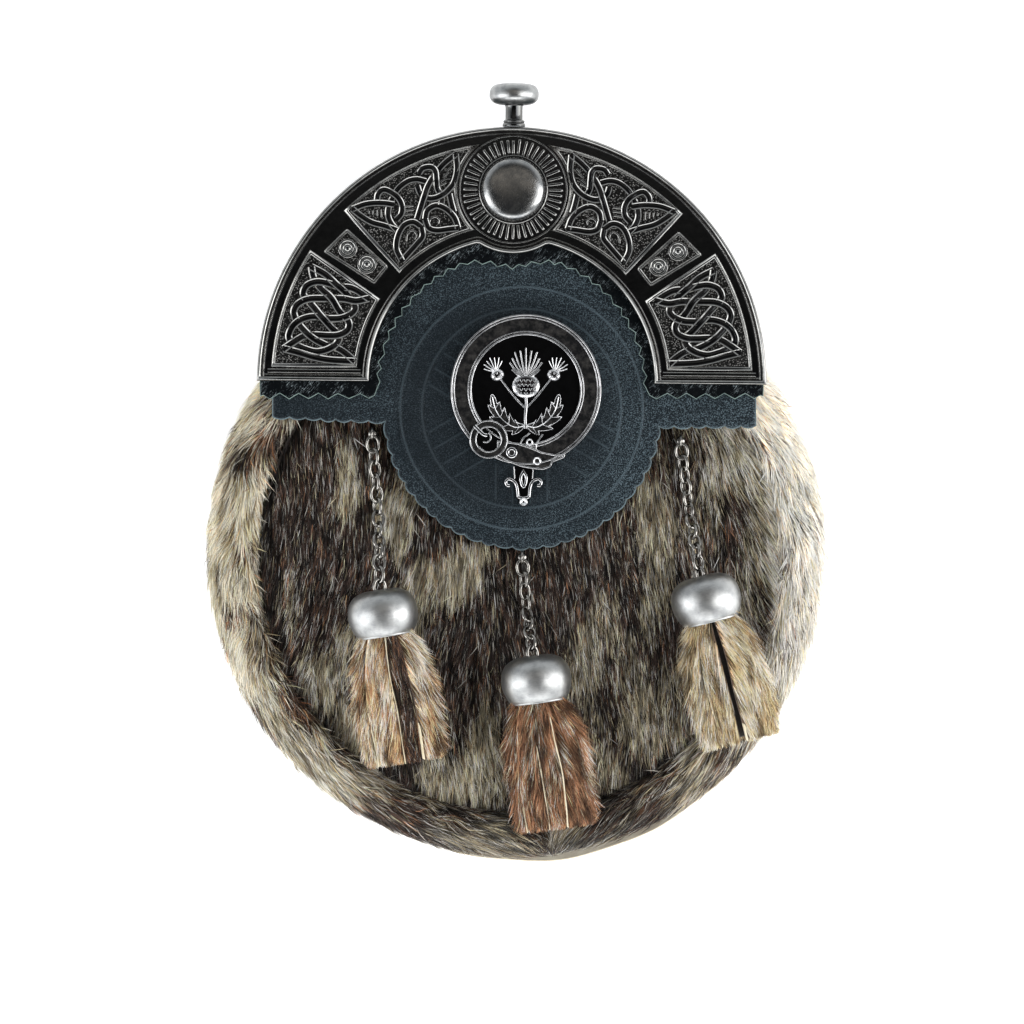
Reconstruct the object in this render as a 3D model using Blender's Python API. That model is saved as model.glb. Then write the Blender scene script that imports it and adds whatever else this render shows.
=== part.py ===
"""A fur sporran pouch with a cast cantle, lying on its back.

+X points to the right, +Y runs from the pouch up to the knob, and +Z points out of the back, so the
front faces up. The origin is under the middle of the pouch, on the surface that it rests on.
Sizes are in millimetres and angles in degrees; the meshes are written in metres.
"""

import math

import bmesh
import bpy
from mathutils import Matrix, Vector
from mathutils.geometry import delaunay_2d_cdt

MM = 0.001

# The pouch body: a round of fur between a flat back and a crowned front.
BODY_CENTRE = (0.0, -22.0)
FUR_RADIUS = 90.6
CREASE_RADIUS = 75.4
BACK_THICKNESS = 2.3
GAP = 0.3
GUSSET_FRONT = 35.6
GUSSET_OPENING = 90.0
GUSSET_MIDDLE = (83.5, 19.0)
GUSSET_LOCKS = 25
LOCK_RISE = 0.55
FRONT_TOP_Y = 40.0
FRONT_EDGE_Z = 32.8
FRONT_CROWN = 3.6
FRONT_WALL = 4.4
FRONT_ROWS = 13
FRONT_COLUMNS = 13
FRONT_FOOT_ANGLE = 172.0
FRONT_LOCK = 0.35
BACK_LOWER_CENTRE = (3.5, -31.8)
BACK_LOWER_RADIUS = 84.2
BACK_UPPER_RADIUS = 72.5
SLIT = {"width": 3.0, "length": 30.0, "middle_y": 60.0, "places_x": (-46.0, -24.0, 24.0, 46.0)}

# The lid: the cantle's own frame has its centre at the middle of the arch's foot line.
CANTLE_CENTRE = (-1.0, 28.3)
CANTLE_TILT = -0.5
CANTLE_RADIUS = 75.0
ARCH_RADIUS = 41.9
CANTLE_FOOT_Y = -0.3
RIM_WIDTH = 2.2
MEDALLION_Y = 56.6
MEDALLION_SWELL = 18.9
FLAP_THICKNESS = 2.0
FLAP_Z = 37.8
FLAP_RADIUS = 73.6
FLAP_DISC_CENTRE = (2.1, 20.2)
FLAP_DISC_RADIUS = 40.7
FLAP_WING_LEFT = {"x": -71.7, "outer_y": 18.1, "inner_y": 16.6}
FLAP_WING_RIGHT = {"x": 71.2, "outer_y": 15.4, "inner_y": 15.2}
SCALLOP = {"pitch": 4.7, "rise": 0.8, "shape": (0.0, 0.9, 0.9)}
BACKING_THICKNESS = 1.2
BACKING_RADIUS = 74.3
BACKING_FOOT_Y = 24.1
BACKING_INNER_DROP = 2.6
BACKING_TOP_DROP = 1.8
TOOTH = {"pitch": 4.9, "rise": 0.9, "shape": (-1.0, 1.0)}
PLATE_THICKNESS = 2.0
BAND_START = 20.0
BAND_END = 160.0

# Heights above the cantle's face.
RISE = {"rim": 1.3, "frame": 0.8, "panel": 0.15, "strand": 0.75, "boss": 0.55, "boss_eye": 0.95, "rib": 0.75}
FRAME_WIDTH = 0.9
MEDALLION_RIBS = {"count": 48, "inner": 10.2, "outer": 14.6, "width": 0.75}
BOSS_RADII = (62.2, 54.9)
BOSS_ANGLE = 141.4

# The badge: heights above its plate, then the discs that stack up as the strap ring and its fittings.
BADGE_PLATE = 1.4
BADGE_RISE = {"lily": 0.6, "thistle": 0.8, "tail": 1.1}
BADGE_CENTRE = (3.2, 26.1)
BUCKLE_CENTRE = (-7.8, 11.4)
STRAP_RING = (
    {"middle": (2.5, -7.0), "radius": 1.6, "sides": 8, "rise": 0.8},
    {"middle": BADGE_CENTRE, "radius": 22.3, "sides": 32, "rise": 1.2},
    {"middle": BADGE_CENTRE, "radius": 21.2, "sides": 32, "rise": 0.7},
    {"middle": BADGE_CENTRE, "radius": 17.0, "sides": 26, "rise": 1.2},
    {"middle": BADGE_CENTRE, "radius": 15.9, "sides": 26, "rise": 0.0},
)
STRAP_FITTINGS = (
    {"middle": (-1.1, 7.5), "radius": 1.3, "sides": 8, "rise": 1.5},
    {"middle": (6.8, 4.9), "radius": 1.3, "sides": 8, "rise": 1.5},
    {"middle": BUCKLE_CENTRE, "radius": 5.7, "sides": 16, "rise": 1.7},
    {"middle": BUCKLE_CENTRE, "radius": 3.5, "sides": 12, "rise": 0.3},
)
STRAP_TAIL = ((-5.0, 11.6), (-5.6, 6.4), (1.5, 3.2), (8.3, 2.1), (11.4, 3.9), (14.8, 6.2), (12.0, 7.0), (4.6, 9.6))
LILY = (
    ((1.5, 3.4), (1.0, -1.6), (0.4, -5.6), (4.6, -5.6), (4.0, -1.6), (3.9, 3.4)),
    ((-2.6, -0.4), (-2.8, -2.2), (-1.6, -3.2), (1.2, -4.6), (0.9, -2.6), (-0.6, -1.2), (-1.2, 0.2)),
    ((7.6, -0.4), (6.2, 0.2), (5.6, -1.2), (4.1, -2.6), (3.8, -4.6), (6.6, -3.2), (7.8, -2.2)),
)
THISTLE = (
    ((2.7, 15.0), (3.7, 15.0), (3.9, 24.5), (2.5, 24.5)),
    ((-0.4, 26.6), (1.4, 23.6), (5.0, 23.6), (6.8, 26.6), (5.2, 29.8), (1.2, 29.8)),
    ((0.9, 29.6), (5.5, 29.6), (8.2, 35.4), (4.9, 34.0), (3.2, 37.0), (1.5, 34.0), (-1.8, 35.4)),
    ((3.1, 15.6), (-2.4, 17.0), (-6.6, 21.4), (-4.6, 21.8), (-4.8, 25.0), (-1.2, 22.6), (3.1, 18.6)),
    ((3.3, 15.6), (3.3, 18.6), (7.6, 22.6), (11.2, 25.0), (11.0, 21.8), (13.0, 21.4), (8.8, 17.0)),
)

# The tassels, one row each: where the chain's eye, the cap's middle and the tilt of the cap are.
TASSELS = {
    "left": {"eye": (-42.2, 13.2), "cap": (-38.9, -39.7), "tilt": 9.0},
    "centre": {"eye": (2.1, -23.4), "cap": (6.2, -59.1), "tilt": 8.0},
    "right": {"eye": (49.0, 11.0), "cap": (56.1, -35.6), "tilt": 15.5},
}
CAP_RADIUS = 10.0
CAP_HEIGHT = 13.8
STRIP_LENGTH = 37.5
CHAIN_RADIUS = 1.9
CHAIN_REACH = 1.6
CHAIN_STEPS = 10
CHAIN_CLIMB = (0.45, 0.88)
EYE_RADIUS = 1.7
EYE_WIRE = 0.42
EYE_RISE = 2.2
EYE_FOOT_RADIUS = 1.3
EYE_FOOT_HEIGHT = 0.7

# The fur strips of a tassel: turn round the axis at the cap, sideways reach at the foot and rise there.
STRIPS = (
    {"turn": 10.0, "foot_x": 9.4, "foot_z": 2.6},
    {"turn": 55.0, "foot_x": 5.4, "foot_z": 5.2},
    {"turn": 125.0, "foot_x": -1.6, "foot_z": 5.9},
    {"turn": 170.0, "foot_x": -8.6, "foot_z": 3.0},
    {"turn": 235.0, "foot_x": -4.6, "foot_z": 1.3},
    {"turn": 305.0, "foot_x": 4.2, "foot_z": 1.3},
)

# Half sections of the turned pieces, as (radius, height) rows.
PLUG_SECTION = ((0.0, 4.4), (5.0, 4.4), (6.6, 8.0), (6.2, 15.2), (0.0, 15.2))
CAP_SECTION = (
    (2.5, 0.0), (5.6, 0.6), (8.4, 2.6), (9.8, 5.6), (9.9, 8.8), (8.8, 12.2), (8.6, 13.8),
    (7.6, 13.8), (7.8, 12.0), (8.8, 8.6), (8.4, 5.2), (6.0, 2.4), (2.5, 1.2),
)
KNOB_SECTION = (
    (0.0, 12.6), (4.2, 12.2), (6.4, 11.2), (7.25, 9.4), (6.8, 7.2), (5.2, 6.2), (2.5, 5.6),
    (2.5, 1.8), (3.2, 1.0), (3.2, 0.0), (0.0, 0.0),
)
DOME_SECTION = (
    (0.0, 4.8), (3.0, 4.5), (5.8, 3.6), (8.0, 2.3), (9.3, 0.9), (9.6, 0.0), (0.0, 0.0),
)
# The gusset's cross-section: (radius, height, share of the locks' rise), round its C shape.
GUSSET_SECTION = (
    (79.5, 2.6, 0.0), (85.6, 2.6, 0.3), (89.2, 7.0, 1.0), (90.6, 14.0, 1.0), (90.6, 22.0, 1.0),
    (88.9, 29.0, 1.0), (85.2, 33.8, 1.0), (80.6, 35.6, 1.0), (77.0, 34.2, 0.5), (75.9, 31.4, 0.0),
    (78.4, 29.4, 0.0), (80.4, 24.0, 0.0), (80.9, 14.0, 0.0), (80.4, 6.5, 0.0),
)
# The lid band's cross-section: (radius, height), bulging between the back and the flap.
BAND_SECTION = (
    (70.4, 2.6), (72.4, 2.6), (74.2, 12.0), (74.2, 28.0), (72.4, 37.5), (70.4, 37.5),
    (72.0, 28.0), (72.0, 12.0),
)

# Knots on the left half of the cantle, charted by hand on small squares. Each row of points is a run
# of one strand, and x is counted to the right and y down from the chart's corner.
PLAIT_CHART = {"corner": (-74.2, 44.85), "square": 0.32, "width": 1.9}
PLAIT_RUNS = (
    ((47, 36), (60, 43), (79, 60), (87, 72), (82, 80), (64, 83.5)),
    ((64, 83.5), (46, 82), (31, 90), (26.5, 100), (40, 111)),
    ((40, 111), (54, 113.5), (71.5, 105), (66, 92), (48, 71.5), (42, 65.5)),
    ((42, 65.5), (39.5, 58), (52, 49.7), (72, 54), (100, 64.5)),
    ((100, 64.5), (80, 66), (60, 65), (37, 68.5), (31, 77), (33, 85)),
    ((33, 85), (48, 101), (72, 111), (87.5, 122.5)),
    ((87.5, 122.5), (55, 120), (22, 111.5)),
    ((22, 111.5), (40, 100), (62, 99), (79, 95.5), (82, 88), (79, 82)),
    ((79, 82), (65, 64), (50.5, 49), (47, 36)),
)
CURL_CHART = {"corner": (-50.6, 74.35), "square": 0.3, "width": 1.7}
CURL_RUNS = (
    ((43, 96), (25, 90), (11, 79.5)),
    ((11, 79.5), (30, 73.5), (52, 75)),
    ((83, 52), (65, 51.5), (51, 67), (46, 83), (55, 100)),
    ((54, 90), (59.5, 78), (50, 64), (38, 61), (35, 71)),
    ((112, 25), (90.5, 46.5), (81.5, 66), (74.5, 89)),
    ((74.5, 56.5), (83, 68), (98, 66), (112, 48), (112, 25)),
    ((76, 44), (85, 37.5), (93, 48), (98, 75)),
    ((106, 64), (110.5, 81.5)),
    ((115, 97.5), (105, 80), (90, 76), (82.5, 89)),
    ((82.5, 89), (92, 100), (115, 97.5)),
    ((60, 130), (55, 108), (68, 92), (79, 97)),
    ((79, 97), (77, 110), (60, 130)),
)


def finish(name, colour, roughness, metallic=0.0):
    """A plain material for one sub-part."""
    material = bpy.data.materials.new(name)
    material.use_nodes = True
    shader = material.node_tree.nodes["Principled BSDF"]
    shader.inputs["Base Color"].default_value = (*colour, 1.0)
    shader.inputs["Roughness"].default_value = roughness
    shader.inputs["Metallic"].default_value = metallic
    return material


def solid(name, points, faces, material, sharp_angle=35.0):
    """One object from points in millimetres and faces that may leave their winding to be worked out."""
    mesh = bpy.data.meshes.new(name)
    mesh.from_pydata([Vector(point) * MM for point in points], [], faces)
    tidy = bmesh.new()
    tidy.from_mesh(mesh)
    bmesh.ops.recalc_face_normals(tidy, faces=tidy.faces)
    tidy.to_mesh(mesh)
    tidy.free()
    mesh.shade_smooth()
    mesh.set_sharp_from_angle(angle=math.radians(sharp_angle))
    mesh.materials.append(material)
    item = bpy.data.objects.new(name, mesh)
    bpy.context.scene.collection.objects.link(item)
    return item


def loft(sections, wrap=False):
    """Points and faces of a skin through closed sections of equal length, capped unless it wraps round."""
    count = len(sections[0])
    points = [point for section in sections for point in section]
    faces = []
    spans = len(sections) if wrap else len(sections) - 1
    for row in range(spans):
        here, there = row * count, (row + 1) % len(sections) * count
        for side in range(count):
            after = (side + 1) % count
            faces.append((here + side, here + after, there + after, there + side))
    if not wrap:
        faces.append(tuple(reversed(range(count))))
        faces.append(tuple(range(len(points) - count, len(points))))
    return points, faces


def turned(section, sides, closed_section=False):
    """Points and faces of a piece turned about +Z from (radius, height) rows; radius 0 is a point on the axis."""
    points, rings = [], []
    for radius, height in section:
        steps = 1 if radius == 0.0 else sides
        rings.append(list(range(len(points), len(points) + steps)))
        for step in range(steps):
            turn = 2.0 * math.pi * step / sides
            points.append((radius * math.cos(turn), radius * math.sin(turn), height))
    faces = []
    pairs = list(zip(rings, rings[1:]))
    if closed_section:
        pairs.append((rings[-1], rings[0]))
    for upper, lower in pairs:
        for step in range(sides):
            after = (step + 1) % sides
            corners = (upper[step % len(upper)], upper[after % len(upper)],
                       lower[after % len(lower)], lower[step % len(lower)])
            face = tuple(dict.fromkeys(corners))
            if len(face) > 2:
                faces.append(face)
    return points, faces


def placed(points, matrix):
    """The points moved by a matrix."""
    return [matrix @ Vector(point) for point in points]


def fused(name, first, second):
    """One body from two overlapping objects."""
    union = first.modifiers.new("fuse", "BOOLEAN")
    union.operation = "UNION"
    union.solver = "EXACT"
    union.use_self = True
    union.object = second
    evaluated = first.evaluated_get(bpy.context.evaluated_depsgraph_get())
    mesh = bpy.data.meshes.new_from_object(evaluated)
    bpy.data.objects.remove(first)
    bpy.data.objects.remove(second)
    item = bpy.data.objects.new(name, mesh)
    bpy.context.scene.collection.objects.link(item)
    return item


def arc(centre, radius, start, end, steps):
    """Points along an arc, both ends included."""
    return [
        (centre[0] + radius * math.cos(math.radians(start + (end - start) * step / steps)),
         centre[1] + radius * math.sin(math.radians(start + (end - start) * step / steps)))
        for step in range(steps + 1)
    ]


def circle(centre, radius, sides):
    """The corners of a regular polygon."""
    return arc(centre, radius, 0.0, 360.0, sides)[:-1]


def inset(outline, distance):
    """A counter-clockwise outline with every side moved inwards."""
    moved = []
    for index, corner in enumerate(outline):
        here = Vector(corner)
        before = (here - Vector(outline[index - 1])).normalized()
        after = (Vector(outline[(index + 1) % len(outline)]) - here).normalized()
        normal_before = Vector((-before.y, before.x))
        normal_after = Vector((-after.y, after.x))
        bisector = (normal_before + normal_after) / (1.0 + normal_before.dot(normal_after))
        moved.append(tuple(here + bisector * distance))
    return moved


def ribbon(route, width):
    """The outline of a strip along a route."""
    left, right = [], []
    for index, place in enumerate(route):
        before = Vector(route[max(index - 1, 0)])
        after = Vector(route[min(index + 1, len(route) - 1)])
        along = (after - before).normalized()
        across = Vector((-along.y, along.x)) * width / 2.0
        left.append(tuple(Vector(place) + across))
        right.append(tuple(Vector(place) - across))
    return right + left[::-1]


def counter_clockwise(outline):
    """The outline, turned round if it runs clockwise."""
    area = sum(a[0] * b[1] - b[0] * a[1] for a, b in zip(outline, outline[1:] + outline[:1]))
    return outline if area > 0.0 else outline[::-1]


def flat_triangles(outlines):
    """Triangles inside overlapping outlines, with the numbers of the outlines that hold each."""
    points, loops = [], []
    for outline in outlines:
        loops.append(list(range(len(points), len(points) + len(outline))))
        points.extend(Vector(corner) for corner in counter_clockwise(outline))
    found = delaunay_2d_cdt(points, [], loops, 1, 1e-4)
    return found[0], found[2], found[5]


def relief_plate(name, regions, z_back, material):
    """A flat-backed plate whose plan is made of regions, a list of (outline, top height).

    Later regions cut into earlier ones, and a top of None is a hole. The walls stand upright.
    """
    points, triangles, owners = flat_triangles([outline for outline, _top in regions])
    tops = [regions[max(owner)][1] if owner else None for owner in owners]
    kept = [(tuple(triangle), top) for triangle, top in zip(triangles, tops) if top is not None]
    side_top = {}
    levels = {}
    for triangle, top in kept:
        for corner, after in zip(triangle, triangle[1:] + triangle[:1]):
            side_top[corner, after] = top
            levels.setdefault(corner, {top}).add(top)
    rim = [side for side in side_top if side[::-1] not in side_top]
    for corner, after in rim:
        levels[corner].add(z_back)
        levels[after].add(z_back)
    corners, faces, numbers = [], [], {}

    def number(corner, height):
        key = (corner, height)
        if key not in numbers:
            numbers[key] = len(corners)
            corners.append((points[corner].x, points[corner].y, height))
        return numbers[key]

    for triangle, top in kept:
        faces.append(tuple(number(corner, top) for corner in triangle))
    for (corner, after), top in side_top.items():
        foot = side_top.get((after, corner), z_back)
        if top <= foot:
            continue
        near = [number(corner, height) for height in sorted(levels[corner]) if foot <= height <= top]
        far = [number(after, height) for height in sorted(levels[after]) if foot <= height <= top]
        while len(near) > 1 or len(far) > 1:
            if len(near) >= len(far):
                faces.append((near[0], far[0], near[1]))
                near.pop(0)
            else:
                faces.append((near[0], far[0], far[1]))
                far.pop(0)
    faces.extend(back_triangles(points, rim, z_back, number))
    return solid(name, corners, faces, material)


def back_triangles(points, rim, z_back, number):
    """The flat back of a relief plate, spanned between its rim points alone."""
    following = {after: corner for corner, after in rim}
    loops, unused = [], set(following)
    while unused:
        start = min(unused)
        loop = [start]
        unused.discard(start)
        while following[loop[-1]] != start:
            loop.append(following[loop[-1]])
            unused.discard(loop[-1])
        loops.append(loop)
    flat = [points[corner] for loop in loops for corner in loop]
    order = [corner for loop in loops for corner in loop]
    ends, first = [], 0
    for loop in loops:
        ends.append(list(range(first, first + len(loop))))
        first += len(loop)
    outer = max(range(len(loops)), key=lambda index: max(points[corner].x for corner in loops[index]))
    cuts = [loop[::-1] if index == outer else loop for index, loop in enumerate(ends)]
    _points, _sides, triangles, sources, _from, owners = delaunay_2d_cdt(flat, [], cuts, 1, 1e-5)
    faces = []
    for triangle, owner in zip(triangles, owners):
        if outer in owner and len(owner) == 1:
            faces.append(tuple(number(order[sources[corner][0]], z_back) for corner in reversed(triangle)))
    return faces


def on_body(radius, angle, height=None):
    """A point of the round body from its radius and its angle from +X."""
    turn = math.radians(angle)
    place = (BODY_CENTRE[0] + radius * math.cos(turn), BODY_CENTRE[1] + radius * math.sin(turn))
    return place if height is None else (*place, height)


def fur_front_height(x, y):
    """The height of the fur front under a place."""
    radius = math.hypot(x - BODY_CENTRE[0], y - BODY_CENTRE[1])
    crown = FRONT_EDGE_Z + FRONT_CROWN * (1.0 - (radius / CREASE_RADIUS) ** 2)
    return crown if radius < CREASE_RADIUS else GUSSET_FRONT


def back_panel(material):
    """The flat leather back, wide below and round at the top, with its belt slits."""
    lower, upper = Vector(BACK_LOWER_CENTRE), Vector(CANTLE_CENTRE)
    between = upper - lower
    lean = math.degrees(math.atan2(between.y, between.x))
    spread = math.degrees(math.acos((BACK_LOWER_RADIUS - BACK_UPPER_RADIUS) / between.length))
    outline = arc(lower, BACK_LOWER_RADIUS, lean + spread, lean - spread + 360.0, 36)
    outline += arc(upper, BACK_UPPER_RADIUS, lean - spread, lean + spread, 24)
    regions = [(outline, BACK_THICKNESS)]
    for place in SLIT["places_x"]:
        half_width, half_length = SLIT["width"] / 2.0, SLIT["length"] / 2.0
        top = SLIT["middle_y"] + half_length
        bottom = SLIT["middle_y"] - half_length
        slit = arc((place, top), half_width, 0.0, 180.0, 3) + arc((place, bottom), half_width, 180.0, 360.0, 3)
        regions.append((slit, None))
    return relief_plate("back_panel", regions, 0.0, material)


def fur_gusset(material):
    """The fur roll round the sides and the bottom, hollow inside, with its fur standing in locks."""
    steps = 2 * GUSSET_LOCKS
    sections = []
    for step in range(steps + 1):
        angle = 90.0 + GUSSET_OPENING / 2.0 + (360.0 - GUSSET_OPENING) * step / steps
        rise = LOCK_RISE if step % 2 else -LOCK_RISE
        section = []
        for radius, height, share in GUSSET_SECTION:
            outward = (Vector((radius, height)) - Vector(GUSSET_MIDDLE)).normalized() * rise * share
            section.append(on_body(radius + outward.x, angle, max(height + outward.y, GUSSET_SECTION[0][1])))
        sections.append(section)
    points, faces = loft(sections)
    return solid("fur_gusset", points, faces, material)


def fur_front_panel(material):
    """The crowned fur front, its top edge under the flap and its fur in rows of locks."""
    top_turn = math.acos((FRONT_TOP_Y - BODY_CENTRE[1]) / CREASE_RADIUS)
    foot_turn = math.radians(FRONT_FOOT_ANGLE)
    top, under = [], []
    for row in range(FRONT_ROWS + 1):
        turn = top_turn + (foot_turn - top_turn) * row / FRONT_ROWS
        y = BODY_CENTRE[1] + CREASE_RADIUS * math.cos(turn)
        half_width = CREASE_RADIUS * math.sin(turn)
        for column in range(FRONT_COLUMNS + 1):
            x = BODY_CENTRE[0] + half_width * (2.0 * column / FRONT_COLUMNS - 1.0)
            height = FRONT_EDGE_Z + FRONT_CROWN * (1.0 - (math.dist((x, y), BODY_CENTRE) / CREASE_RADIUS) ** 2)
            lock = FRONT_LOCK if (row + column) % 2 else 0.0
            top.append((x, y, height - lock))
            under.append((x, y, height - FRONT_WALL))
    points = top + under
    width = FRONT_COLUMNS + 1
    faces = []
    for row in range(FRONT_ROWS):
        for column in range(FRONT_COLUMNS):
            corner = row * width + column
            quad = (corner, corner + width, corner + width + 1, corner + 1)
            faces.append(quad)
            faces.append(tuple(number + len(top) for number in reversed(quad)))
    edge = list(range(width))
    edge += [row * width + FRONT_COLUMNS for row in range(1, FRONT_ROWS + 1)]
    edge += [FRONT_ROWS * width + column for column in range(FRONT_COLUMNS - 1, -1, -1)]
    edge += [row * width for row in range(FRONT_ROWS - 1, 0, -1)]
    for corner, after in zip(edge, edge[1:] + edge[:1]):
        faces.append((corner, after, after + len(top), corner + len(top)))
    return solid("fur_front_panel", points, faces, material)


def lid_band(material):
    """The leather band over the top, which joins the back to the flap."""
    steps = 20
    sections = []
    for step in range(steps + 1):
        turn = math.radians(BAND_START + (BAND_END - BAND_START) * step / steps)
        sections.append([
            (CANTLE_CENTRE[0] + radius * math.cos(turn), CANTLE_CENTRE[1] + radius * math.sin(turn), height)
            for radius, height in BAND_SECTION
        ])
    points, faces = loft(sections)
    return solid("lid_band", points, faces, material)


def waved(start, end, edge):
    """Points along a foot edge that stands out downwards in scallops or teeth; the end is left out."""
    start, end = Vector(start), Vector(end)
    shape = edge["shape"]
    waves = max(1, round((end - start).length / edge["pitch"]))
    count = waves * len(shape)
    return [
        tuple(start.lerp(end, index / count) - Vector((0.0, edge["rise"] * shape[index % len(shape)])))
        for index in range(count)
    ]


def waved_arc(centre, radius_at, start, end, edge):
    """Points along an arc that stands out in scallops or teeth; both ends are included."""
    shape = edge["shape"]
    middle = radius_at((start + end) / 2.0)
    waves = max(1, round(abs(math.radians(end - start)) * middle / edge["pitch"]))
    count = waves * len(shape)
    points = []
    for index in range(count + 1):
        angle = start + (end - start) * index / count
        radius = radius_at(angle) + edge["rise"] * shape[index % len(shape)]
        turn = math.radians(angle)
        points.append((centre[0] + radius * math.cos(turn), centre[1] + radius * math.sin(turn)))
    return points


def flap(material):
    """The leather flap: round at the top, with two short wings and a disc-shaped tongue."""
    centre_x, centre_y = FLAP_DISC_CENTRE
    left, right = FLAP_WING_LEFT, FLAP_WING_RIGHT
    reach = {side: math.sqrt(FLAP_DISC_RADIUS ** 2 - (wing["inner_y"] - centre_y) ** 2)
             for side, wing in (("left", left), ("right", right))}
    disc_start = 180.0 + math.degrees(math.asin((centre_y - left["inner_y"]) / FLAP_DISC_RADIUS))
    disc_end = 360.0 - math.degrees(math.asin((centre_y - right["inner_y"]) / FLAP_DISC_RADIUS))
    left_foot = (centre_x - reach["left"], left["inner_y"])
    outline = waved((left["x"], left["outer_y"]), left_foot, SCALLOP)
    tongue = waved_arc(FLAP_DISC_CENTRE, lambda _angle: FLAP_DISC_RADIUS, disc_start, disc_end, SCALLOP)
    outline += tongue[:-1]
    right_foot = (centre_x + reach["right"], right["inner_y"])
    outline += waved(right_foot, (right["x"], right["outer_y"]), SCALLOP)
    outline.append((right["x"], right["outer_y"]))
    shoulder = {side: math.degrees(math.acos((wing["x"] - CANTLE_CENTRE[0]) / FLAP_RADIUS))
                for side, wing in (("left", left), ("right", right))}
    outline += arc(CANTLE_CENTRE, FLAP_RADIUS, shoulder["right"], shoulder["left"], 26)
    return relief_plate("flap", [(outline, FLAP_Z + FLAP_THICKNESS)], FLAP_Z, material)


def arch_radius(angle, cut=0.0):
    """The radius of the cantle's inner edge, which swells inwards under the medallion."""
    swell = MEDALLION_SWELL - cut
    from_top = math.radians(angle - 90.0)
    plain = ARCH_RADIUS + cut
    room = swell ** 2 - (MEDALLION_Y * math.sin(from_top)) ** 2
    if room <= 0.0 or math.cos(from_top) < 0.0:
        return plain
    return min(plain, MEDALLION_Y * math.cos(from_top) - math.sqrt(room))


def cantle_backing(z_back, material):
    """The creased leather behind the cantle, its free edges pinked into teeth."""
    centre = CANTLE_CENTRE
    foot_drop = centre[1] - BACKING_FOOT_Y
    start = -math.degrees(math.asin(foot_drop / BACKING_RADIUS))
    outline = arc(centre, BACKING_RADIUS, start, 180.0 - start, 34)
    inner_x = ARCH_RADIUS - 2.4
    left_foot = (centre[0] - inner_x, BACKING_FOOT_Y)
    outline += waved(outline[-1], left_foot, TOOTH)[1:]

    def edge_radius(angle):
        return arch_radius(angle) - BACKING_INNER_DROP - BACKING_TOP_DROP * max(0.0, math.sin(math.radians(angle)))

    outline += waved_arc(centre, edge_radius, 180.0 - start, start, TOOTH)
    right_foot = (centre[0] + inner_x, BACKING_FOOT_Y)
    outline += waved(right_foot, outline[0], TOOTH)[1:]
    return relief_plate("cantle_backing", [(outline, z_back + BACKING_THICKNESS)], z_back, material)


def polar(radius, angle):
    """A place in the cantle's own frame."""
    turn = math.radians(angle)
    return (radius * math.cos(turn), radius * math.sin(turn))


def arch_outline(cut):
    """The cantle's outline in its own frame, drawn in by cut all round."""
    foot = CANTLE_FOOT_Y + cut
    outer, inner = CANTLE_RADIUS - cut, ARCH_RADIUS + cut
    outer_start = math.degrees(math.asin(foot / outer))
    inner_start = math.degrees(math.asin(foot / inner))
    outline = arc((0.0, 0.0), outer, outer_start, 180.0 - outer_start, 38)
    steps = 30
    for step in range(steps + 1):
        angle = 180.0 - inner_start + (2.0 * inner_start - 180.0) * step / steps
        outline.append(polar(arch_radius(angle, cut), angle))
    return outline


def mirrored(outline):
    """The outline on the other half of the cantle."""
    return [(-x, y) for x, y in reversed(outline)]


def curl_panel_outline():
    """The large panel beside the medallion, hollowed where it follows the medallion."""
    inner, outer, hollow = 46.0, 70.6, 16.5

    def meeting(radius):
        y = (radius ** 2 + MEDALLION_Y ** 2 - hollow ** 2) / (2.0 * MEDALLION_Y)
        return math.degrees(math.atan2(y, -math.sqrt(radius ** 2 - y ** 2)))

    outline = arc((0.0, 0.0), outer, meeting(outer), 135.0, 5)
    outline += arc((0.0, 0.0), inner, 136.4, meeting(inner), 4)
    for step in range(1, 5):
        turn = math.radians(228.0 - (228.0 - 128.0) * step / 5)
        outline.append((hollow * math.cos(turn), MEDALLION_Y + hollow * math.sin(turn)))
    return outline


def boss_panel_outline():
    """The small panel of the two ring bosses."""
    return [polar(66.3, 137.4), polar(67.5, 145.9), polar(49.5, 145.1), polar(49.6, 137.3)]


def plait_panel_outline():
    """The panel of the plait at the foot of the arch, with its flat bottom."""
    foot = 3.8
    outer, inner = 70.9, 45.8
    outline = arc((0.0, 0.0), outer, 147.2, 180.0 - math.degrees(math.asin(foot / outer)), 5)
    outline += arc((0.0, 0.0), inner, 180.0 - math.degrees(math.asin(foot / inner)), 148.2, 4)
    return outline


def charted(chart, runs):
    """The ribbons of a charted knot, in the cantle's own frame."""
    left, top = chart["corner"]
    square = chart["square"]
    return [ribbon([(left + square * x, top - square * y) for x, y in run], chart["width"]) for run in runs]


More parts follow.
